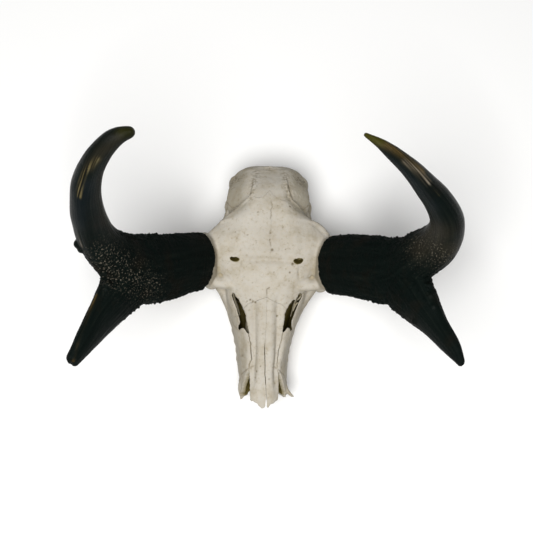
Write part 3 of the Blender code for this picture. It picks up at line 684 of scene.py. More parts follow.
def shape_surface(body):
    """Gives the melted surface the bone's own relief, and notes where it is darker: dirt along the sutures,
    darker pits and scars, and painted shade in the grooves, the small openings and round the optic canal.
    """
    points, out = vertices(body), normals(body)
    x, y, z = points.T
    top = smooth_step(0.15, 0.6, out[:, 2]) * (z > 60)
    dirt_and_painted_shade = np.zeros(len(points))
    lift = np.zeros(len(points))

    # The nasal bones: a raised middle between two troughs, and edges that roll down
    along = smooth_step(-132, -104, y) * (1 - smooth_step(-46, -26, y))
    edge = np.abs(x - 0.6)
    lift -= 3.0 * hill(edge - 11.5, 3.4) * along * top
    lift += 0.7 * hill(edge - 4, 2.8) * along * top

    # The brow: a low ridge between the two holes with a trough before it, and a full forehead
    middle = np.exp(-((x / 25) ** 4))
    lift += 0.9 * hill(y - 6, 3.4) * middle * top
    lift -= 1.5 * hill(y + 1.2, 2.6) * middle * top
    lift += 1.6 * np.exp(-(((y + 14) / 9) ** 2) - (x / 22) ** 2) * top
    for side in SIDES.values():
        lift -= 1.4 * np.exp(-(((x * side - 44) / 9) ** 2) - ((y + 10) / 12) ** 2) * top
        lift -= 0.6 * np.exp(-(((x * side - 36) / 5) ** 2) - ((y + 6) / 12) ** 2) * top
        lift += 0.9 * np.exp(-(((x * side - 42) / 6) ** 2) - ((y - 14) / 13) ** 2) * top
        lift -= 0.8 * np.exp(-(((x * side - 34) / 8) ** 2) - ((y - 30) / 7) ** 2) * top

    for line in TEMPORAL_LINES:
        d, _ = off_line(x, y, line)
        out_to = np.interp(y, [p[1] for p in line], [abs(p[0]) for p in line])
        outside = smooth_step(0, 3, np.abs(x) - out_to)
        back = smooth_step(38, 46, y) * (1 - smooth_step(76, 88, y))
        lift += 0.9 * hill(d, 1.5) * (z > 84) * back
        lift -= 1.5 * outside * hill(d, 9) * (z > 76) * back
    for line in RIDGES:
        d, share = off_line(x, y, line)
        lift += 0.9 * hill(d, 1.8) * (1 - share * 0.8) * top
    for line in GROOVES:
        d, share = off_line(x, y, line)
        ends = np.sin(math.pi * np.clip(share, 0.02, 0.98)) ** 0.5
        lift -= 0.7 * hill(d, 1.3) * top * ends
        # Painted shade along the groove
        dirt_and_painted_shade = np.maximum(dirt_and_painted_shade, 0.2 * hill(d, 0.8) * top * ends)

    # Sutures that have all but closed
    wandering = x + 1.1 * noise_at(points[:, [1, 1, 1]] * (1, 0, 0) + (0, 3, 9), 2.6, 3, 41)
    d, _ = off_line(wandering, y, SAGITTAL)
    shown = 0.25 + 0.75 * smooth_step(0.1, 0.5, noise_at(points[:, [1, 1, 1]] * (0, 1, 0), 5, 2, 43) + 0.35)
    lift -= 0.35 * hill(d, 0.7) * shown * top
    dirt_and_painted_shade = np.maximum(dirt_and_painted_shade, 0.5 * hill(d, 0.5) * shown * top)
    d, share = off_line(x, y, NASION_SUTURE)
    ends = 1 - 0.7 * share
    lift -= 0.6 * hill(d, 0.7) * top * ends
    dirt_and_painted_shade = np.maximum(dirt_and_painted_shade, 0.7 * hill(d, 0.55) * top * ends)
    for px, py, size in PITS:
        d = np.hypot(x - px, y - py)
        lift -= 1.1 * size * hill(d, size) * top
        # Darker in each pit
        dirt_and_painted_shade = np.maximum(dirt_and_painted_shade, 0.8 * hill(d, size) * top)

    # Rough scars where the neck muscles held on, at the two upper corners and along the crest
    rough = np.zeros(len(points))
    for cx, cy, cz, size in SCARS:
        rough = np.maximum(rough, np.exp(-(((x - cx) ** 2 + (y - cy) ** 2 + (z - cz) ** 2) / size**2)))
    for line in TEMPORAL_LINES:
        d, share = off_line(x, y, line)
        rough = np.maximum(rough, 0.5 * hill(d, 4) * (share > 0.55) * (z > 70))
    near = rough > 0.05
    grit = np.zeros(len(points))
    grit[near] = noise_at(points[near], 2.2, 4, 7)
    lift += rough * (0.9 * grit - 0.25)
    # Darker in the low places of the scars
    dirt_and_painted_shade = np.maximum(dirt_and_painted_shade, rough * 0.9 * smooth_step(0.02, -0.3, grit))

    # The sides: swellings over the tooth roots, the facial tubercle, sutures, vessel grooves and small openings
    wall = smooth_step(0.35, 0.8, np.abs(out[:, 0]))
    far = np.abs(x)
    for ty, tx, length, _, _ in TEETH:
        lift += 0.9 * np.exp(-(((y - ty) / (length * 0.32)) ** 2) - ((z - 22) / 11) ** 2) * wall * (far > tx)
    lift += 1.8 * np.exp(-(((y + 47) / 8) ** 2) - ((z - 44) / 7) ** 2) * wall
    lift -= 1.0 * np.exp(-(((y + 82) / 12) ** 2) - ((z - 62) / 9) ** 2) * wall
    wavy = z + 1.2 * noise_at(points[:, [1, 2, 1]] * (1, 1, 0), 3.0, 3, 47)
    for line in SIDE_LINES:
        d, _ = off_line(y, wavy, line)
        lift -= 0.4 * hill(d, 0.8) * wall
        dirt_and_painted_shade = np.maximum(dirt_and_painted_shade, 0.45 * hill(d, 0.6) * wall)
    for px, py, pz, size in SIDE_PITS:
        d = np.sqrt((far - px) ** 2 + (y - py) ** 2 + (z - pz) ** 2 * 0.8)
        near = d < PIT_REACH
        beside = np.hypot(y - py, z - pz) if px > 20 else np.hypot(far - px, z - pz)
        lift -= near * 1.5 * size * hill(beside, size)
        # Painted shade in each small opening
        dirt_and_painted_shade = np.maximum(dirt_and_painted_shade, near * 0.9 * hill(beside, size))
    # Painted shade deep in the orbit round the optic canal
    optic = np.sqrt((far - 32) ** 2 + (y - 14) ** 2 + (z - 78) ** 2)
    dirt_and_painted_shade = np.maximum(dirt_and_painted_shade, 0.85 * (1 - smooth_step(4, 11, optic)))
    lift += 0.14 * wall * noise_at(points * (1, 1, 0.3), 1.6, 3, 49)

    lift += 0.4 * noise_at(points, 24, 3, 1) + 0.15 * noise_at(points, 5, 3, 2)
    set_vertices(body, points + out * lift[:, None])
    set_attribute(body, "dirt_and_painted_shade", dirt_and_painted_shade)


# Parting at the sutures

def suture_block(point, normal, shift=0.0, wiggle=0.8, seed=0.0, tongue=None, size=190):
    """A block that fills one side of a wavy sheet near a plane, on the side that normal points to."""
    count = int(size)
    turn = Vector(normal).to_track_quat("Z", "Y").to_matrix()
    right, up, way = (np.array(turn.col[i]) for i in range(3))
    u, v = np.meshgrid(np.linspace(-size / 2, size / 2, count), np.linspace(-size / 2, size / 2, count))
    base = np.array(point, float) + u.ravel()[:, None] * right + v.ravel()[:, None] * up
    wander = wiggle * noise_at(base, 4.5, 3, seed)
    if tongue is not None:
        wander = wander + tongue(base)
    sheet = base + (wander + shift)[:, None] * way
    floor = base + way * size
    points = np.vstack([sheet, floor]).tolist()
    faces = []
    for i in range(count - 1):
        row = i * count
        faces += [(row + j, row + j + count, row + j + count + 1, row + j + 1) for j in range(count - 1)]
    total = count * count
    faces += [tuple(k + total for k in reversed(face)) for face in faces]
    last = count - 1
    rim = [*range(count)] + [i * count + last for i in range(1, count)]
    rim += [last * count + j for j in range(last - 1, -1, -1)] + [i * count for i in range(last - 1, 0, -1)]
    faces += [(a, b, b + total, a + total) for a, b in zip(rim, rim[1:] + rim[:1])]
    mesh = bpy.data.meshes.new("suture")
    mesh.from_pydata(points, [], faces)
    block = new_object("suture", mesh)
    bm = bmesh.new()
    bm.from_mesh(mesh)
    bmesh.ops.recalc_face_normals(bm, faces=bm.faces)
    bm.to_mesh(mesh)
    bm.free()
    return block


def parted(body, point, normal, behind, ahead, **shape):
    """Two bones from one body, either side of a wavy suture near a plane."""
    far = copy_of(body, ahead)
    boolean(far, [suture_block(point, normal, SUTURE / 2, **shape)], "INTERSECT")
    body.name = behind
    boolean(body, [suture_block(point, normal, -SUTURE / 2, **shape)], "DIFFERENCE")
    return largest_shell(body), largest_shell(far)


def taken_out(body, name, inner, outer):
    """The part of body inside one tool as a bone of its own. outer is the same tool, larger by the gap."""
    piece = boolean(copy_of(body, name), [inner], "INTERSECT")
    boolean(body, [outer], "DIFFERENCE")
    return largest_shell(piece), largest_shell(body)


# The fissure between the nasal bones, as (y, x), and the outer edge of each one, as (y, x out from the middle)
NASAL_SLIT = (
    (-150, 3.6), (-129, 3.0), (-117, 1.6), (-102, 0.4), (-86, -0.6), (-80, -0.6), (-62, 0.7), (-47, 1.1),
    (-34, 1.4),
)
NASAL_EDGES = {
    "right": (
        (-150, 12.6), (-131, 12.6), (-118, 12.9), (-105, 13.4), (-97, 13.5), (-92.3, 11.9), (-89, 12.6),
        (-85.5, 13.5), (-78.3, 13.6), (-70.5, 15.3), (-66, 16.8), (-60, 19), (-52, 20.5), (-46.5, 22),
    ),
    "left": (
        (-150, 15.2), (-128, 15), (-118, 14.9), (-106, 14.2), (-96.3, 12.3), (-83.3, 12.4), (-76, 14.3),
        (-71.9, 15.5), (-68, 15.9), (-62, 18.6), (-52, 20.5), (-46.5, 22),
    ),
}
NASAL_BACK = ((22, -46.5), (15.3, -41), (8.1, -38.6), (4.3, -37.2))


def nasal_block(label, side, spread):
    """The block that holds one nasal bone, or, with a spread, that bone and the fissures round it."""
    ys, xs = zip(*NASAL_SLIT)
    middle = []
    for y in np.arange(-150, -35, 0.9):
        x = np.interp(y, ys, xs) + 0.25 * noise.noise(Vector((2.2, y / 2.6, 0)))
        gap = 0.05 + 0.3 * smooth_step(-74, -86, y) - 0.16 * smooth_step(-112, -120, y)
        gap += 0.5 * smooth_step(-128, -134, y)
        middle.append((x * side + (-0.03 if spread else gap), y))
    ys, xs = zip(*NASAL_EDGES[label])
    edge = []
    for y in np.arange(-150, -46.5, 0.9):
        x = np.interp(y, ys, xs) + 0.5 * noise.noise(Vector((side * 3.3, y / 2.4, 5)))
        wide = 0.3 + (1.0 if side < 0 else 0.7) * smooth_step(-62, -72, y) if spread else 0
        edge.append((x + wide * (0.8 + 0.35 * noise.noise(Vector((side * 7, y / 1.7, 2)))), y))
    for x, y in NASAL_BACK:
        edge.append((x, y + (SUTURE if spread else 0)))
    edge.append((1.4 * side + 0.02, -35.2 + (SUTURE if spread else 0)))
    return tube("nasal_block", [
        [mirrored((x, y, NASION[2] + (y - NASION[1]) * 0.35 + lift), side) for x, y in middle + edge[::-1]]
        for lift in (-9, 30)
    ])


def braincase_block(spread):
    """The space behind the coronal suture, with a tongue forward along the skull's base."""
    back = Vector((0, 0.94, -0.336))

    def tongue(base):
        above = smooth_step(100, 110, base[:, 2])
        return 8 * np.exp(-np.abs((base[:, 0] - 1.3) / 3.6) ** 1.6) * above - 0.0075 * base[:, 0] ** 2 * above

    behind = suture_block(Vector(BREGMA) - back * 2.6, back, -spread, 1.3, 5.0, tongue)
    half, front, top = 27 + spread, -5 - spread, 60 + spread
    ring = [(-half, front), (half, front), (half, 75), (-half, 75)]
    base = tube("tongue", [[(x, y, z) for x, y in ring] for z in (-20, top)])
    return boolean(behind, [base], "UNION")


def lean(obj):
    """The snout leans a little, as its solids do: its ridge to the animal's left and its sides to the right."""
    points = vertices(obj)
    y, z = points[:, 1], points[:, 2]
    low = -1.5 + 1.8 * smooth_step(-85, -120, y)
    shift = smooth_step(-30, -90, y) * np.clip((z - 70) / 9, 0, 1.3)
    shift += smooth_step(-20, -60, y) * np.maximum(low, np.minimum(0, (z - 84) / 9))
    points[:, 0] += shift
    set_vertices(obj, points)


def skull_bones(skull):
    """The whole skull parted near its sutures. Each bone has the name of the solid that it stands for."""
    bones = {}
    for label, side in SIDES.items():
        bones[f"nasal_{label}"], skull = taken_out(
            skull, f"nasal_{label}", nasal_block(label, side, 0), nasal_block(label, side, SUTURE)
        )
    boolean(skull, [front_edge(label, side) for label, side in SIDES.items()], "DIFFERENCE")
    bones["braincase"], skull = taken_out(skull, "braincase", braincase_block(0), braincase_block(SUTURE))
    face, bones["frontal_bone"] = parted(
        skull, (0, -46, 103.3), (0, 0.3, 0.954), "face", "frontal_bone", wiggle=1.0, seed=2.0, size=230
    )
    right, left = parted(face, (0, -30, 60), (1, 0, 0), "face", "other", wiggle=0.3, seed=3.0, size=260)
    halves = {"right": right, "left": left}
    for label, side in SIDES.items():
        bones[f"maxilla_{label}"], bones[f"orbit_{label}"] = parted(
            halves[label], mirrored((38, -45, 62), side), mirrored((0.75, 0.5, 0.43), side),
            f"maxilla_{label}", f"orbit_{label}", wiggle=1.2, seed=4.0 + side, size=200,
        )
    return bones


# Teeth

# Rings round each tooth: height and size down its crown, then size and height over the folds of its worn end
TOOTH_CROWN = ((20, 0.9), (15, 0.97), (10, 1.0), (5, 1.0), (2, 0.97), (0.7, 0.92), (0.1, 0.86))
TOOTH_FOLDS = (
    (0.78, 0.1), (0.7, 0.75), (0.55, 1.0), (0.46, 0.35), (0.4, 0.3), (0.3, 1.6), (0.16, 2.2), (0.05, 2.0),
)


def tooth(side, y, x, length, width, lobes, seed):
    """A high-crowned cheek tooth: ribbed outside, lobed inside, worn flat with low ridges round its hollows."""
    turns = np.linspace(0, 2 * math.pi, 56, endpoint=False)
    cosine, sine = np.cos(turns), np.sin(turns)
    pinch = 1 - 0.24 * (lobes - 1) * (1 - np.abs(cosine)) ** 3
    ribs = 0.35 * np.maximum(0, sine) * np.cos(turns * (2 + 2 * lobes)) ** 2
    u = np.sign(cosine) * np.abs(cosine) ** 0.62 * length / 2
    v = np.sign(sine) * np.abs(sine) ** 0.62 * width / 2 * pinch + ribs
    rings = []
    for z, grow in TOOTH_CROWN:
        lean = 0.5 * math.sin(seed + z * 0.15)
        rings.append([mirrored((x + b * grow + lean * 0.3, y + a * grow, z), side) for a, b in zip(u, v)])
    for shrink, height in TOOTH_FOLDS:
        rings.append([mirrored((x + b * shrink, y + a * shrink, height), side) for a, b in zip(u, v)])
    return tube("tooth", rings)


def tooth_row(label, side):
    row = joined(f"teeth_{label}", [tooth(side, *size, seed) for seed, size in enumerate(TEETH)])
    points = vertices(row)
    rough = np.column_stack([noise_at(points, 2.5, 2, s) for s in (31, 32, 33)])
    set_vertices(row, points + 0.12 * rough * (points[:, 2:] > 0.15))
    return row


# Horns

def horn_limb(name, stations, side, step=0.04, sides=96):
    path = [mirrored(point, side) for point, _, _ in stations]
    widths, depths = [s[1] for s in stations], [s[2] for s in stations]
    return limb(name, path, widths, depths, (side, 0, -0.5), sides, step, widths[-1] * 0.8 + 0.6)


def along_horn(points, stations, side):
    """For each point: the way along the limb to its nearest centre, its distance and the angle round it."""
    path = [mirrored(point, side) for point, _, _ in stations]
    places, centres, out, across = limb_frames(path, (side, 0, -0.5), 0.1)
    sizes = spline(np.arange(len(path)), np.array([[s[1], s[2]] for s in stations]), places)
    lengths = np.concatenate([[0], np.cumsum(np.linalg.norm(np.diff(centres, axis=0), axis=1))])
    nearest = np.empty(len(points), int)
    for start in range(0, len(points), 20000):
        block = points[start:start + 20000]
        nearest[start:start + 20000] = ((block[:, None] - centres[None]) ** 2).sum(2).argmin(1)
    away = points - centres[nearest]
    a = (away * out[nearest]).sum(1) / sizes[nearest, 0]
    b = (away * across[nearest]).sum(1) / sizes[nearest, 1]
    return lengths[nearest], np.hypot(a, b), np.arctan2(b, a)


def horn_places(points, label, side):
    """For each point: the way along the beam and the prong, whether it is on the prong, the angle round the
    beam, and the angle and the way along the limb that it is on."""
    s, r, turn = along_horn(points, HORN_BEAMS[label], side)
    sp, rp, turn_p = along_horn(points, HORN_PRONGS[label], side)
    on_prong = rp < r
    about, along = np.where(on_prong, turn_p, turn), np.where(on_prong, sp + PRONG_START, s)
    return s, sp, on_prong, turn, about, along


# Knobs on each sheath, as (x out from the middle, y, z, radius)
HORN_KNOBS = {
    "right": ((155.5, -15, 257, 4.2), (153, -19, 256, 3.6), (106, 2.5, 196, 3.6), (95.5, 6, 180, 3.2),
              (127, -2, 242, 3), (135, -38, 246, 4), (132, -46, 241, 4), (137, -30, 250, 3.2)),
    "left": ((137, -39, 238, 3.2), (138, -48, 241, 3), (140, -57, 243.5, 2.6), (126.5, -68, 229, 3.2),
             (112, 4, 207, 3.2), (156, -8, 262, 3.4), (151.5, -17, 258, 3), (76, 19.5, 140, 2.6)),
}


def horn(label, side):
    """One horn sheath: rough and fibrous up to its fork, smooth and polished along the hook."""
    masses = [horn_limb("beam", HORN_BEAMS[label], side), horn_limb("prong", HORN_PRONGS[label], side)]
    masses += [egg("knob", mirrored(knob[:3], side), (knob[3],) * 3) for knob in HORN_KNOBS[label]]
    whole = largest_shell(fuse(f"horn_{label}", masses, HORN_VOXEL, MELT_PASSES))
    root, rise = horn_root(side)
    points, out = vertices(whole), normals(whole)
    s, sp, on_prong, _, about, along = horn_places(points, label, side)
    smooth = np.maximum(smooth_step(138, 185, s) * ~on_prong, 0.75 * smooth_step(38, 75, sp) * on_prong)
    grain = np.column_stack([np.cos(about) * 10, np.sin(about) * 10, along / 18])
    fibres = noise_at(grain, 1.0, 4, 11 + side)
    fine = noise_at(grain * (2.6, 2.6, 1.6), 1.0, 3, 13 + side)
    lumps = noise_at(points, 7.0, 3, 21 + side)
    pearls = noise_at(points, 2.4, 2, 23 + side)
    swell = noise_at(points, 30, 2, 25 + side)
    near_fork = smooth_step(45, 85, s) * (1 - smooth_step(135, 165, s))
    near_fork = near_fork * (1 - smooth_step(45, 80, sp) * on_prong)
    edge = np.abs(np.sin(about)) ** 6 * (1 - smooth)
    lift = (1 - smooth) * (0.5 * fibres + 0.25 * fine + (0.35 + 0.4 * near_fork) * lumps)
    lift += ((1 - smooth) * (0.3 + 1.1 * near_fork) + 1.3 * edge) * np.maximum(0, pearls - 0.16)
    lift += 0.5 * swell + smooth * (0.12 * fibres + 0.05 * fine)
    # The rim is ragged, with a thin worn lip, and draws back towards the front of its inner side
    lift -= 0.5 * (1 - smooth_step(0, 7, s)) * (1 + fibres)
    inner_front = smooth_step(0.2, 0.7, -side * out[:, 0]) * smooth_step(1, -9, points[:, 1])
    lift -= 1.5 * inner_front * (1 - smooth_step(8, 26, s))
    if label == "right":
        # A notch across the blunt end of the prong
        d = points - np.array(mirrored((159, -117.5, 257), side))
        lift -= 2.6 * np.exp(-((d[:, 0] * 0.83 - d[:, 1] * 0.56) ** 2) / 2.6) * np.exp(-(d**2).sum(1) / 40)
    set_vertices(whole, points + out * lift[:, None])

    def sag(base):
        return 1.2 * smooth_step(-4, 8, base[:, 1]) - 1.8 * smooth_step(-6, -20, base[:, 1])

    rim = suture_block(root + rise * 1.8, -rise, 0, 1.9, 50.0 + side, sag, size=110)
    boolean(whole, [rim, horn_core(side, 0.35, -9, 9.5)], "DIFFERENCE")
    return largest_shell(whole)


# Where each sheath has worn through to paler or stained horn, and where a painted blue sheen and, on the left
# hook, a painted highlight lie, as paths of (x out from the middle, y, z) with a reach
HORN_WEAR_AND_PAINTED_LIGHT = {
    "right": {
        "flecks": (((134, -27, 257), (118, -35, 236), (100, -44, 202)), 15),
        "gold": (((141, -55, 243), (147, -81, 251), (152, -98, 256), (154.5, -111, 257)), 1.1),
        "pale_wear_and_painted_highlight": (((151.5, -17, 264), (151, -9, 272)), 1.8),
        "streak": (((148, 14, 310), (146, 22, 321), (143, 27.5, 327), (138, 32, 332), (131, 38, 337)), 2.0),
        "dull": (((138, 32, 333), (127, 43, 341), (115, 52, 346)), 4.5),
        "tip": (((112, 56.5, 347), (104, 58, 345)), 4.5),
        "blue": (((150, -2, 285), (147, 12, 305), (141, 22, 318)), 6),
    },
    "left": {
        "flecks": (((144, -20, 262), (138, -8, 262), (127, -6, 246)), 15),
        "gold": (((84, 55, 347), (94, 50.5, 345), (104, 45.5, 341.5), (112, 41, 336), (119, 37, 330)), 3.4),
        "pale_wear_and_painted_highlight": (((104, 42, 339), (111, 38, 333.5), (118, 34, 327.5), (123.5, 30, 322)), 2.4),
        "streak": (((134, 21, 314), (131, 24, 318)), 1.2),
        "dull": (((151, -10, 266), (140, -5, 268), (128, -8, 252), (139, 0, 280)), 11),
        "tip": (((71, 61, 345.5), (82, 56.5, 347)), 5.5),
        "blue": (((97, 42, 334), (110, 33, 325), (121, 26, 313), (131, 18, 303)), 5),
    },
}


def near_path(points, path, reach, side):
    """1 on the path, falling away from it over the reach."""
    best = np.full(len(points), 1e9)
    for a, b in zip(path, path[1:]):
        a, b = np.array(mirrored(a, side), float), np.array(mirrored(b, side), float)
        t = np.clip(((points - a) @ (b - a)) / ((b - a) @ (b - a)), 0, 1)
        best = np.minimum(best, np.linalg.norm(points - a - t[:, None] * (b - a), axis=1))
    return hill(best, reach)


# Materials

def node(tree, kind, **values):
    """A new node with its properties set, and its inputs where a value's name starts with in_."""
    made = tree.nodes.new(kind)
    for name, value in values.items():
        if name.startswith("in_"):
            key = name[3:]
            key = int(key) if key.isdigit() else key.replace("_", " ")
            made.inputs[key].default_value = value
        else:
            setattr(made, name, value)
    return made


def new_material(name):
    made = bpy.data.materials.new(name)
    made.use_nodes = True
    tree = made.node_tree
    shader = tree.nodes["Principled BSDF"]
    return made, tree, shader


def ramp(tree, source, stops):
    """A colour ramp over a value, with stops of (place, colour)."""
    made = tree.nodes.new("ShaderNodeValToRGB")
    band = made.color_ramp
    while len(band.elements) < len(stops):
        band.elements.new(0.5)
    for element, (place, colour) in zip(band.elements, stops):
        element.position = place
        element.color = (*colour, 1)
    tree.links.new(source, made.inputs["Fac"])
    return made.outputs["Color"]


def mix(tree, factor, a, b, blend="MIX"):
    made = tree.nodes.new("ShaderNodeMix")
    made.data_type = "RGBA"
    made.blend_type = blend
    for socket, value in ((made.inputs[0], factor), (made.inputs[6], a), (made.inputs[7], b)):
        if isinstance(value, (int, float)):
            socket.default_value = value
        elif isinstance(value, tuple):
            socket.default_value = (*value, 1)
        else:
            tree.links.new(value, socket)
    return made.outputs[2]


def noise_node(tree, vector, scale, detail=4, roughness=0.55):
    made = node(tree, "ShaderNodeTexNoise", in_Scale=scale, in_Detail=detail, in_Roughness=roughness)
    tree.links.new(vector, made.inputs["Vector"])
    return made.outputs["Fac"]


def attribute(tree, name):
    made = node(tree, "ShaderNodeAttribute", attribute_name=name)
    return made.outputs["Fac"]


def scaled(tree, vector, scale):
    made = node(tree, "ShaderNodeMapping", in_Scale=scale)
    tree.links.new(vector, made.inputs["Vector"])
    return made.outputs["Vector"]


def bump(tree, height, strength, distance, normal=None):
    made = node(tree, "ShaderNodeBump", in_Strength=strength, in_Distance=distance)
    tree.links.new(height, made.inputs["Height"])
    if normal is not None:
        tree.links.new(normal, made.inputs["Normal"])
    return made.outputs["Normal"]


def bone_material():
    made, tree, shader = new_material("bone_dry")
    place = node(tree, "ShaderNodeTexCoord").outputs["Object"]
    large = noise_node(tree, place, 16, 5)
    blotch = noise_node(tree, place, 70, 5, 0.6)
    fine = noise_node(tree, place, 330, 5, 0.65)
    colour = ramp(tree, large, (
        (0.3, (0.43, 0.395, 0.335)), (0.5, (0.485, 0.452, 0.392)), (0.7, (0.53, 0.50, 0.445)),
    ))
    stained = ramp(tree, blotch, ((0.30, (0.74, 0.69, 0.58)), (0.46, (0.95, 0.93, 0.89)), (0.56, (1, 1, 1))))
    colour = mix(tree, 0.75, colour, stained, "MULTIPLY")
    specks = ramp(tree, fine, ((0.27, (0.48, 0.43, 0.33)), (0.40, (0.93, 0.91, 0.87)), (0.5, (1, 1, 1))))
    colour = mix(tree, 0.7, colour, specks, "MULTIPLY")
    # Painted shade on the steep side walls, in the temples and round the horn's foot, with some stain in the
    # temples
    colour = mix(tree, attribute(tree, "stain"), colour, (0.70, 0.68, 0.62), "MULTIPLY")
    # Painted shade inside the nose and the brow holes and in the creases; then dirt along the sutures, darker
    # pits and scars, and painted shade in the grooves, the small openings and round the optic canal
    darker = (("painted_hollow_shade", (0.13, 0.10, 0.022)), ("painted_crease_shade", (0.30, 0.25, 0.16)), ("dirt_and_painted_shade", (0.10, 0.075, 0.035)))
    for name, shade in darker:
        colour = mix(tree, attribute(tree, name), colour, shade)
    tree.links.new(colour, shader.inputs["Base Color"])
    shader.inputs["Roughness"].default_value = 0.7
    shader.inputs["Specular IOR Level"].default_value = 0.2
    shader.inputs["Subsurface Weight"].default_value = 0.05
    shader.inputs["Subsurface Radius"].default_value = (0.003, 0.002, 0.0012)
    shader.inputs["Subsurface Scale"].default_value = 0.5
    pores = ramp(tree, noise_node(tree, place, 1100, 3), ((0.3, (0, 0, 0)), (0.5, (1, 1, 1))))
    first = bump(tree, fine, 0.35, 0.0007)
    tree.links.new(bump(tree, pores, 0.12, 0.0003, first), shader.inputs["Normal"])
    return made


def tooth_material():
    made, tree, shader = new_material("tooth_enamel")
    place = node(tree, "ShaderNodeTexCoord").outputs["Object"]
    stain = noise_node(tree, scaled(tree, place, (1, 1, 0.25)), 320, 5)
    colour = ramp(tree, stain, (
        (0.3, (0.16, 0.10, 0.05)), (0.5, (0.50, 0.42, 0.29)), (0.66, (0.68, 0.62, 0.50)),
    ))
    tree.links.new(colour, shader.inputs["Base Color"])
    shader.inputs["Roughness"].default_value = 0.3
    tree.links.new(bump(tree, stain, 0.2, 0.0005), shader.inputs["Normal"])
    return made


def horn_material():
    """Near-black horn with a green cast, paler from wear, with a painted sheen and highlight on the hooks,
    where the sheath's attributes say so.
    """
    made, tree, shader = new_material("horn_black")
    grain = node(tree, "ShaderNodeUVMap", uv_map="grain").outputs["UV"]
    place = node(tree, "ShaderNodeTexCoord").outputs["Object"]
    fibres = noise_node(tree, scaled(tree, grain, (1, 0.05, 1)), 14, 6, 0.62)
    patches = noise_node(tree, place, 38, 4)
    grit = noise_node(tree, place, 620, 3, 0.6)
    colour = ramp(tree, fibres, (
        (0.36, (0.0016, 0.0036, 0.0030)), (0.58, (0.0030, 0.0058, 0.0048)), (0.78, (0.010, 0.012, 0.009)),
    ))
    brown = ramp(tree, patches, ((0.52, (0, 0, 0)), (0.70, (0.55, 0.55, 0.55))))
    colour = mix(tree, brown, colour, (0.0085, 0.0065, 0.0040))
    # A painted blue sheen along the polished hooks
    colour = mix(tree, attribute(tree, "blue"), colour, (0.0035, 0.0065, 0.0075))
    dull = mix(tree, fibres, (0.0035, 0.0035, 0.0025), (0.026, 0.024, 0.016))
    colour = mix(tree, attribute(tree, "dull"), colour, dull)
    speck = ramp(tree, grit, ((0.57, (0, 0, 0)), (0.66, (1, 1, 1))))
    speck = mix(tree, 1.0, speck, attribute(tree, "flecks"), "MULTIPLY")
    colour = mix(tree, speck, colour, (0.12, 0.105, 0.08))
    # Gold and streaks are worn horn; the pale marks are worn horn by the right fork and a painted highlight
    # along the left hook
    wear_and_painted_light = (
        ("gold", ((0.35, (0.020, 0.014, 0.003)), (0.55, (0.085, 0.056, 0.018)), (0.72, (0.17, 0.12, 0.055)))),
        ("pale_wear_and_painted_highlight", ((0.40, (0.012, 0.011, 0.009)), (0.55, (0.12, 0.10, 0.07)), (0.75, (0.25, 0.22, 0.175)))),
        ("streak", ((0.44, (0.006, 0.006, 0.004)), (0.54, (0.11, 0.085, 0.035)), (0.68, (0.20, 0.17, 0.09)))),
    )
    for name, stops in wear_and_painted_light:
        colour = mix(tree, attribute(tree, name), colour, ramp(tree, fibres, stops))
    tip = mix(tree, fibres, (0.016, 0.0155, 0.001), (0.066, 0.060, 0.006))
    colour = mix(tree, attribute(tree, "tip"), colour, tip)
    tree.links.new(colour, shader.inputs["Base Color"])
    for socket, rough, polished in (("Roughness", 0.7, 0.36), ("Specular IOR Level", 0.03, 0.075)):
        between = node(tree, "ShaderNodeMapRange", in_1=0.0, in_2=1.0, in_3=rough, in_4=polished)
        tree.links.new(attribute(tree, "polish"), between.inputs[0])
        tree.links.new(between.outputs[0], shader.inputs[socket])
    first = bump(tree, fibres, 0.7, 0.001)
    tree.links.new(bump(tree, grit, 0.2, 0.0004, first), shader.inputs["Normal"])
    return made


def set_attribute(obj, name, values):
    layer = obj.data.attributes.new(name, "FLOAT", "POINT")
    layer.data.foreach_set("value", np.asarray(values, np.float32))


# Making it all

def inside(points, out, tree, reach):
    """1 on a surface that faces into the tree's closed shape and lies on it, 0 further than reach from it."""
    share = np.zeros(len(points))
    for i, (p, n) in enumerate(zip(points.tolist(), out.tolist())):
        _, way, _, far = tree.find_nearest(p, reach)
        if far is not None:
            share[i] = (1 - far / reach) * max(0, -way.dot(n))
    return smooth_step(0.1, 0.7, share)


def tree_of(obj):
    graph = bpy.context.evaluated_depsgraph_get()
    return BVHTree.FromObject(obj, graph)


def finish_piece(obj, name, material, nodes):
    obj.name = name
    obj.data.name = name
    obj.data.transform(Matrix.Translation(SHIFT) @ Matrix.Scale(MM, 4))
    obj.data.update()
    obj.data.shade_smooth()
    obj.data.set_sharp_from_angle(angle=math.radians(SHARP_ANGLE))
    obj.data.materials.clear()
    obj.data.materials.append(material)
    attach(obj, "root")
    if nodes:
        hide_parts(*nodes)


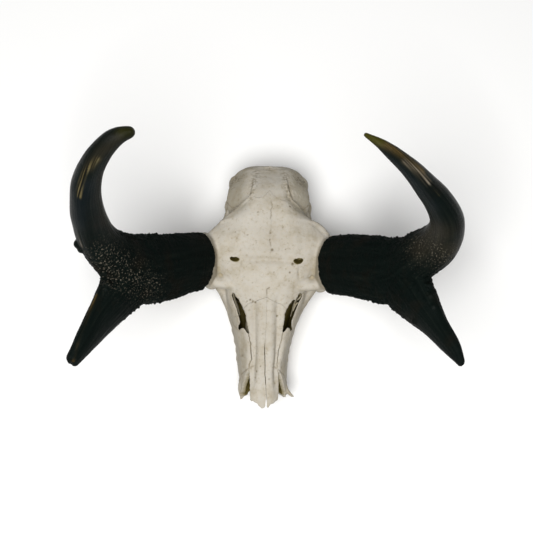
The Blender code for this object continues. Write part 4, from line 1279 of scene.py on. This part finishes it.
def mark_bone(obj, cavity):
    """Attributes that the bone's material reads: how far inside the nose or a brow hole a point is, for painted
    shade there;
    how creased its surface is, for painted shade in the creases; and painted shade on the steep side walls, in
    the temples and round the horn's foot, with some stain in the temples."""
    points, out = vertices(obj), normals(obj)
    far, y, z = np.abs(points[:, 0]), points[:, 1], points[:, 2]
    pairs = edge_pairs(obj)
    total = np.zeros((len(points), 3))
    count = np.zeros(len(points))
    for a, b in ((0, 1), (1, 0)):
        np.add.at(total, pairs[:, a], points[pairs[:, b]])
        np.add.at(count, pairs[:, a], 1)
    bend = ((total / np.maximum(count, 1)[:, None] - points) * out).sum(1)
    for _ in range(2):
        beside = np.zeros(len(points))
        for a, b in ((0, 1), (1, 0)):
            np.add.at(beside, pairs[:, a], bend[pairs[:, b]])
        bend = 0.5 * bend + 0.5 * beside / np.maximum(count, 1)
    # Painted shade in the creases, where the surface bends inwards
    painted_crease_shade = smooth_step(0.02, 0.14, bend) * 0.7
    # Painted shade on the walls inside the nose and the brow holes
    painted_hollow_shade = np.zeros(len(points))
    near = (y < -20) & (z > 20) | (np.abs(y) < 14) & (z > 98)
    painted_hollow_shade[near] = inside(points[near], out[near], cavity, 4.0)
    # Painted shade on the steep side walls, in the temples and round the horn's foot, with some stain in the
    # temples, and none where the hollow's painted shade is
    side_wall = 1 - smooth_step(0.35, 0.85, np.abs(out[:, 2]))
    temple = smooth_step(40, 52, y) * smooth_step(15, 30, far) * (1 - smooth_step(0.75, 0.95, out[:, 2]))
    horn_foot = np.exp(-(((far - 47) / 9) ** 2) - ((y + 7) / 15) ** 2) * (z > 90)
    stain = np.clip(0.7 * side_wall + 0.9 * temple + 0.6 * horn_foot, 0, 1) * (1 - painted_hollow_shade)
    for name, values in (("painted_hollow_shade", painted_hollow_shade), ("painted_crease_shade", painted_crease_shade), ("stain", stain)):
        set_attribute(obj, name, values)


def nose_scroll(side, low, high, centre, radius, seed):
    """A thin curled plate along the inside of the nose, which starts from its side wall."""
    turns = np.linspace(0, 1, 40)
    rings = []
    for t in np.linspace(0, 1, 46):
        y = low + (high - low) * t
        swell = 0.45 + 0.55 * math.sin(math.pi * min(1, 0.15 + t * 1.1)) ** 0.6
        cx, cz = centre[0] + 3.5 * t, centre[1] + 7 * t
        outer, inner = [], []
        for k in turns:
            angle = -0.35 * math.pi + 2.5 * math.pi * k
            curl = 1.75 - 1.1 * k if k < 0.2 else 1.56 - 0.16 * k - 0.9 * (k - 0.2)
            reach = radius * swell * curl
            reach *= 1 + 0.07 * noise.noise(Vector((k * 4, y / 5, seed)))
            ragged = 0.8 * noise.noise(Vector((k * 9, t * 3, seed + 4)))
            for far, ring in ((reach, outer), (max(0.3, reach - 0.75), inner)):
                x, z = cx + far * math.cos(angle), cz + far * math.sin(angle) * 1.15
                ring.append(mirrored((x, y + ragged, z), side))
        rings.append(outer + inner[::-1])
    return tube("scroll", rings)


def nose_insides():
    """What stands inside the nose: the low septum on the palate, the scrolls and slivers of thin bone."""
    septum = [
        (-117, 30), (-115, 36), (-108, 41), (-96, 45), (-80, 50), (-60, 57), (-42, 63), (-30, 66), (-30, 29),
    ]
    yield ragged_prism(
        "septum", septum, -0.6, 0.6, lambda y, z, x: (x + 0.8 * math.sin(y / 17), y, z), 8.8, 0.8,
    )
    for side in SIDES.values():
        yield nose_scroll(side, -110, -46, (8.5, 50), 5.2, 2.0 + side)
        yield nose_scroll(side, -92, -40, (10, 70), 4.6, 5.0 + side)
        yield limb(
            "sliver",
            [mirrored(p, side) for p in ((31, -27, 90), (30, -34, 89), (27, -42, 88), (24.5, -50, 84))],
            (0.5, 0.5, 0.5, 0.4), (1.6, 2.2, 2.6, 1.2), thin=(1, 0.3, 0.4),
        )
    slivers = (
        (((34.2, -31, 94), (32.4, -33.5, 93), (30.6, -35.2, 93.6)), (0.4, 0.4, 0.3), (0.5, 0.7, 0.4)),
        (((31, -37.5, 92), (28.6, -40.5, 91.5), (26.6, -45.5, 89)), (0.4, 0.5, 0.3), (0.6, 0.8, 0.4)),
        (((28, -38.6, 93.5), (28.6, -42, 92)), (0.4, 0.4), (0.5, 0.5)),
    )
    for path, widths, depths in slivers:
        yield limb("sliver", path, widths, depths)


def mark_horn(obj, label, side):
    points = vertices(obj)
    s, sp, on_prong, turn, about, along = horn_places(points, label, side)
    polish = np.maximum(smooth_step(135, 190, s) * ~on_prong, 0.6 * smooth_step(35, 80, sp) * on_prong)
    set_attribute(obj, "polish", polish)
    # Each wear mark, and the painted sheen and highlight on the hooks, as a share that falls away from its path
    for name, (path, reach) in HORN_WEAR_AND_PAINTED_LIGHT[label].items():
        wear_and_painted_light = near_path(points, path, reach, side)
        if name in ("gold", "pale_wear_and_painted_highlight", "streak"):
            wear_and_painted_light *= 0.75 + 0.5 * noise_at(np.column_stack([turn * 8, turn * 0, s / 12]), 1.0, 2, 61)
        wear_and_painted_light *= {"righttip": 0.35, "leftflecks": 0.6}.get(label + name, 1)
        set_attribute(obj, name, np.clip(wear_and_painted_light * 1.25, 0, 1))
    loops = np.empty(len(obj.data.loops), np.int64)
    obj.data.loops.foreach_get("vertex_index", loops)
    grain = np.column_stack([about / (2 * math.pi) * 3, along / 40])
    layer = obj.data.uv_layers.new(name="grain")
    layer.data.foreach_set("uv", grain[loops].astype(np.float32).ravel())


def build():
    bone, enamel, black = bone_material(), tooth_material(), horn_material()
    cavity = joined("hollows", [nasal_cavity(), *(brow_hole(side) for side in SIDES.values())])
    bpy.context.view_layer.update()
    # The hollows whose walls get painted shade
    painted_hollow_shade = tree_of(cavity)
    for name, piece in skull_bones(whole_skull()).items():
        mark_bone(piece, painted_hollow_shade)
        lean(piece)
        finish_piece(piece, f"bone_{name}", bone, [name])
    inner = joined("insides", list(nose_insides()))
    # The nose's insides get painted shade all over
    for name, value in (("painted_hollow_shade", INSIDES_PAINTED_SHADE), ("painted_crease_shade", 0), ("dirt_and_painted_shade", 0), ("stain", 0)):
        set_attribute(inner, name, np.full(len(inner.data.vertices), value))
    lean(inner)
    finish_piece(inner, "bone_insides", bone, [])
    bpy.data.objects.remove(cavity)
    for label, side in SIDES.items():
        teeth = tooth_row(label, side)
        lean(teeth)
        finish_piece(teeth, f"teeth_{label}", enamel, [])
        sheath = horn(label, side)
        mark_horn(sheath, label, side)
        limbs = [f"horn_{label}_{part}" for part in ("beam", "prong", "hook")]
        finish_piece(sheath, f"sheath_{label}", black, limbs)


# Floor, light and camera

AIM = (266.4, 264.0)
ELEVATION, ROLL, DISTANCE, MM_PER_PIXEL = 81.0, 1.6, 1.10, 0.95
TARGET = Vector((0, -0.004, 0.112)) + SHIFT
IMAGE_SIZE, SENSOR_WIDTH, NEAR_CLIP = 533, 36, 0.01

KEY_WAY, KEY_DISTANCE, KEY_SIZE, KEY_POWER, KEY_COLOUR = (-0.1, -0.34, 1.3), 2.2, 1.1, 60, (1, 0.995, 0.98)
KEY_TARGET = (0, 0, 0.12)
SKY_COLOUR, SKY_STRENGTH = (0.98, 0.99, 1, 1), 0.14
FLOOR_COLOUR, FLOOR_SIZE = (0.93, 0.93, 0.93, 1), 8


def set_camera():
    focal = DISTANCE * 1000 / MM_PER_PIXEL
    rise = math.radians(ELEVATION)
    back = Vector((0, -math.cos(rise), math.sin(rise)))
    right = Vector((1, 0, 0))
    up = back.cross(right)
    turn = math.radians(ROLL)
    right, up = right * math.cos(turn) + up * math.sin(turn), up * math.cos(turn) - right * math.sin(turn)
    place = TARGET + back * DISTANCE
    middle = IMAGE_SIZE / 2
    place -= right * ((AIM[0] - middle) / focal * DISTANCE) - up * ((AIM[1] - middle) / focal * DISTANCE)
    camera = bpy.data.objects.new("camera", bpy.data.cameras.new("camera"))
    bpy.context.scene.collection.objects.link(camera)
    camera.data.sensor_width = SENSOR_WIDTH
    camera.data.lens = SENSOR_WIDTH * focal / IMAGE_SIZE
    camera.data.clip_start = NEAR_CLIP
    camera.matrix_world = Matrix((
        (right.x, up.x, back.x, place.x), (right.y, up.y, back.y, place.y), (right.z, up.z, back.z, place.z),
        (0, 0, 0, 1),
    ))
    bpy.context.scene.camera = camera


def add_key_light():
    light = bpy.data.objects.new("key", bpy.data.lights.new("key", "AREA"))
    bpy.context.scene.collection.objects.link(light)
    light.data.shape = "DISK"
    light.data.size = KEY_SIZE
    light.data.energy = KEY_POWER
    light.data.color = KEY_COLOUR
    way = Vector(KEY_WAY).normalized()
    light.location = Vector(KEY_TARGET) + way * KEY_DISTANCE
    light.rotation_mode = "QUATERNION"
    light.rotation_quaternion = way.to_track_quat("Z", "Y")


def set_stage():
    bm = bmesh.new()
    bmesh.ops.create_grid(bm, x_segments=1, y_segments=1, size=FLOOR_SIZE)
    floor = object_from("floor", bm)
    made, _, shader = new_material("floor_pale_wear_and_painted_highlight")
    shader.inputs["Base Color"].default_value = FLOOR_COLOUR
    shader.inputs["Roughness"].default_value = 0.95
    shader.inputs["Specular IOR Level"].default_value = 0.1
    floor.data.materials.append(made)
    world = bpy.data.worlds.new("studio")
    bpy.context.scene.world = world
    world.use_nodes = True
    sky = world.node_tree.nodes["Background"]
    sky.inputs["Color"].default_value = SKY_COLOUR
    sky.inputs["Strength"].default_value = SKY_STRENGTH
    add_key_light()
    bpy.context.scene.view_settings.view_transform = "Standard"


build()
set_camera()
set_stage()
